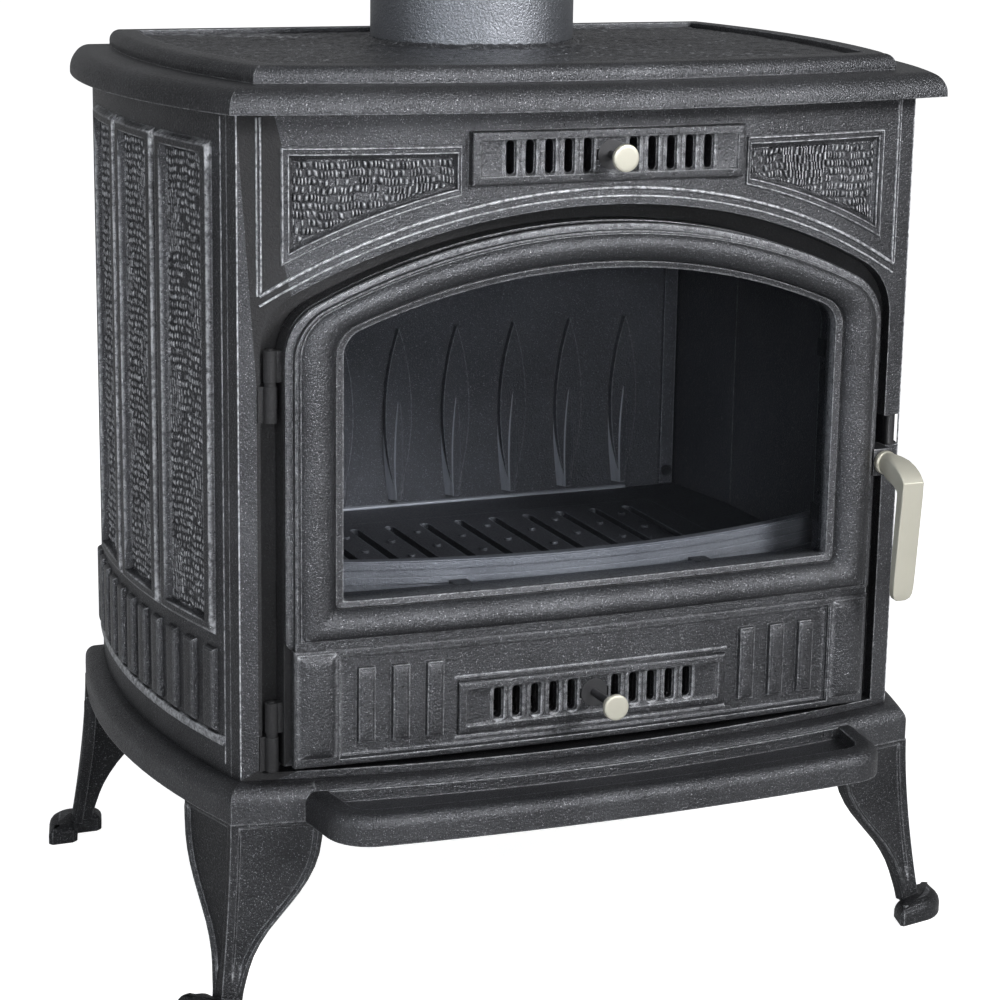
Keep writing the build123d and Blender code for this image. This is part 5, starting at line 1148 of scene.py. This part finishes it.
def foot_rings(front):
    """Sections up a foot; its toes slope down."""
    rings = []
    for level, inset in FOOT_LEVELS:
        ring = []
        for x, y in foot_outline(inset, front):
            fall = max(0, (max(x, y) - 22) / 24)
            ring.append((x - FOOT_OVERHANG, y - FOOT_OVERHANG, level * (1 - 0.22 * fall)))
        rings.append(ring)
    return rings


def make_legs():
    """Four legs, each with its foot and the lug that holds its bolts."""
    lug = ((3, 3), (68, 3), (3, 68))
    lug_rings = [[(x, y, level) for x, y in lug] for level in (134, 145.9)]
    for front, word_y in ((True, "front"), (False, "rear")):
        corner_x, corner_y = FRONT_LEG_CORNER if front else REAR_LEG_CORNER
        behind = 1 if front else -1
        for side, word_x in ((-1, "left"), (1, "right")):
            shape = Shape()
            for rings in (leg_rings(front), foot_rings(front), lug_rings):
                shape.skin([[(side * (corner_x - x), corner_y + behind * y, z) for x, y, z in ring]
                            for ring in rings])
            leg = f"leg_{word_y}_{word_x}"
            shape.object(f"{leg}_casting", LEG_PAINTED_SHADE_CASTING, replaces=(leg,), sharp=32)


# ---- ribs of the back liner ----
RIB_COUNT = 8
RIB_PITCH = 53
RIB_LOW = 288
# The two leaves of a rib: half width, height, what it stands on, rise, and number of sections.
RIB_LEAVES = ((11.6, 150, 0, 5.4, 36), (5.6, 94, 5.4, 2.8, 28))
# Across a leaf, with its broad flank at the left: share of its half width, and share of its rise.
RIB_SECTION = (
    (-1, -0.3), (-1, 0.02), (-0.82, 0.40), (-0.62, 0.86), (-0.52, 1),
    (0.72, 1), (0.82, 0.90), (0.92, 0.55), (1, 0.02), (1, -0.3),
)


def leaf_swell(share):
    """Width of a leaf from its cut foot, at share 0, to its tip, at share 1."""
    if share < 0.4:
        return 0.60 + 0.40 * math.sin(math.pi / 2 * share / 0.4)
    return max(0.02, math.cos(math.pi / 2 * ((share - 0.4) / 0.6) ** 1.15))


def make_leaf_ribs():
    """Leaf-shaped ribs: pointed above, cut square below, with a smaller leaf raised on each."""
    shape = Shape()
    for index in range(RIB_COUNT):
        centre = (index - (RIB_COUNT - 1) / 2) * RIB_PITCH
        for half, height, base, rise, steps in RIB_LEAVES:
            rings = []
            for step in range(steps + 1):
                swell = leaf_swell(step / steps)
                tall = min(1, 3 * swell) * rise
                z = RIB_LOW + height * step / steps
                rings.append([(centre + half * swell * across, LINER_FACE_Y - base - tall * up + 0.2, z)
                              for across, up in RIB_SECTION])
            shape.skin(rings)
    ribs = shape.object("back_liner_leaf_ribs", FIRE_CASTING, sharp=35)
    # The broad flanks, which face left, take the light iron as painted light.
    ribs.data.materials.append(PAINTED_LIT_FIRE)
    for face in ribs.data.polygons:
        face.material_index = 1 if face.normal.x < -0.3 else 0
    ledge = Shape()
    lay_bead(ledge, divide([(-192, 281.5), (192, 281.5)], 12), round_profile(4.6, 2.2),
             lambda u, v, rise: (u, LINER_FACE_Y - rise, v))
    # The foot bead also takes the light iron, as painted light.
    ledge.object("back_liner_foot_bead", PAINTED_LIT_FIRE)


# ---- finishes of the carried-over parts ----
def in_door_gap(piece, face):
    """Tells the faces of the hinge knuckles, and of the seat that the door closes on."""
    x, y, z = (piece.matrix_world @ face.center) / MM
    knuckle_reach = 13.5
    seat_y, seat_half, seat_low, seat_high = -178.5, 255.5, 175, 600
    on_knuckle = math.hypot(x - HINGE_X, y - HINGE_Y) < knuckle_reach
    on_seat = face.normal.y < -0.9 and y > seat_y and abs(x) < seat_half and seat_low < z < seat_high
    return on_knuckle or (piece.name == "front_plate" and on_seat)


def finish_nodes():
    """Give each carried-over part the finish of its slot, or one of its own."""
    finishes = {
        "painted_casting": CASTING, "firebox_casting": FIRE_CASTING, "black_sheet_steel": SHEET,
        "steel": STEEL, "satin_nickel": NICKEL, "rope_seal": ROPE, "ceramic_glass": GLASS,
    }
    special = {
        "flue_collar": FLUE_CASTING, "upper_knob_washer": STEEL, "lower_knob_washer": STEEL,
        "hinge_pins": PAINTED_SHADE_CASTING, "latch_hook": SHEET, "latch_pin": SHEET, "spindle_nut": SHEET,
        "log_guard": GUARD_PAINTED_LIT_CASTING,
    }
    for piece in bpy.data.objects:
        if piece.type != "MESH" or piece.name not in frame["nodes"]:
            continue
        for slot in piece.material_slots:
            if slot.material and slot.material.name in finishes:
                slot.material = special.get(piece.name, finishes[slot.material.name])
        # The hinge knuckles and the seat in the door's gap take the near-black iron as painted shade.
        if piece.name in ("door_frame", "front_plate"):
            piece.data.materials.append(PAINTED_SHADE_CASTING)
            shaded = len(piece.data.materials) - 1
            for face in piece.data.polygons:
                if in_door_gap(piece, face):
                    face.material_index = shaded


make_camera()
make_studio()
make_floor()
finish_nodes()
make_door()
make_front()
make_sides()
make_top_field()
make_knobs()
make_handle()
make_legs()
make_leaf_ribs()
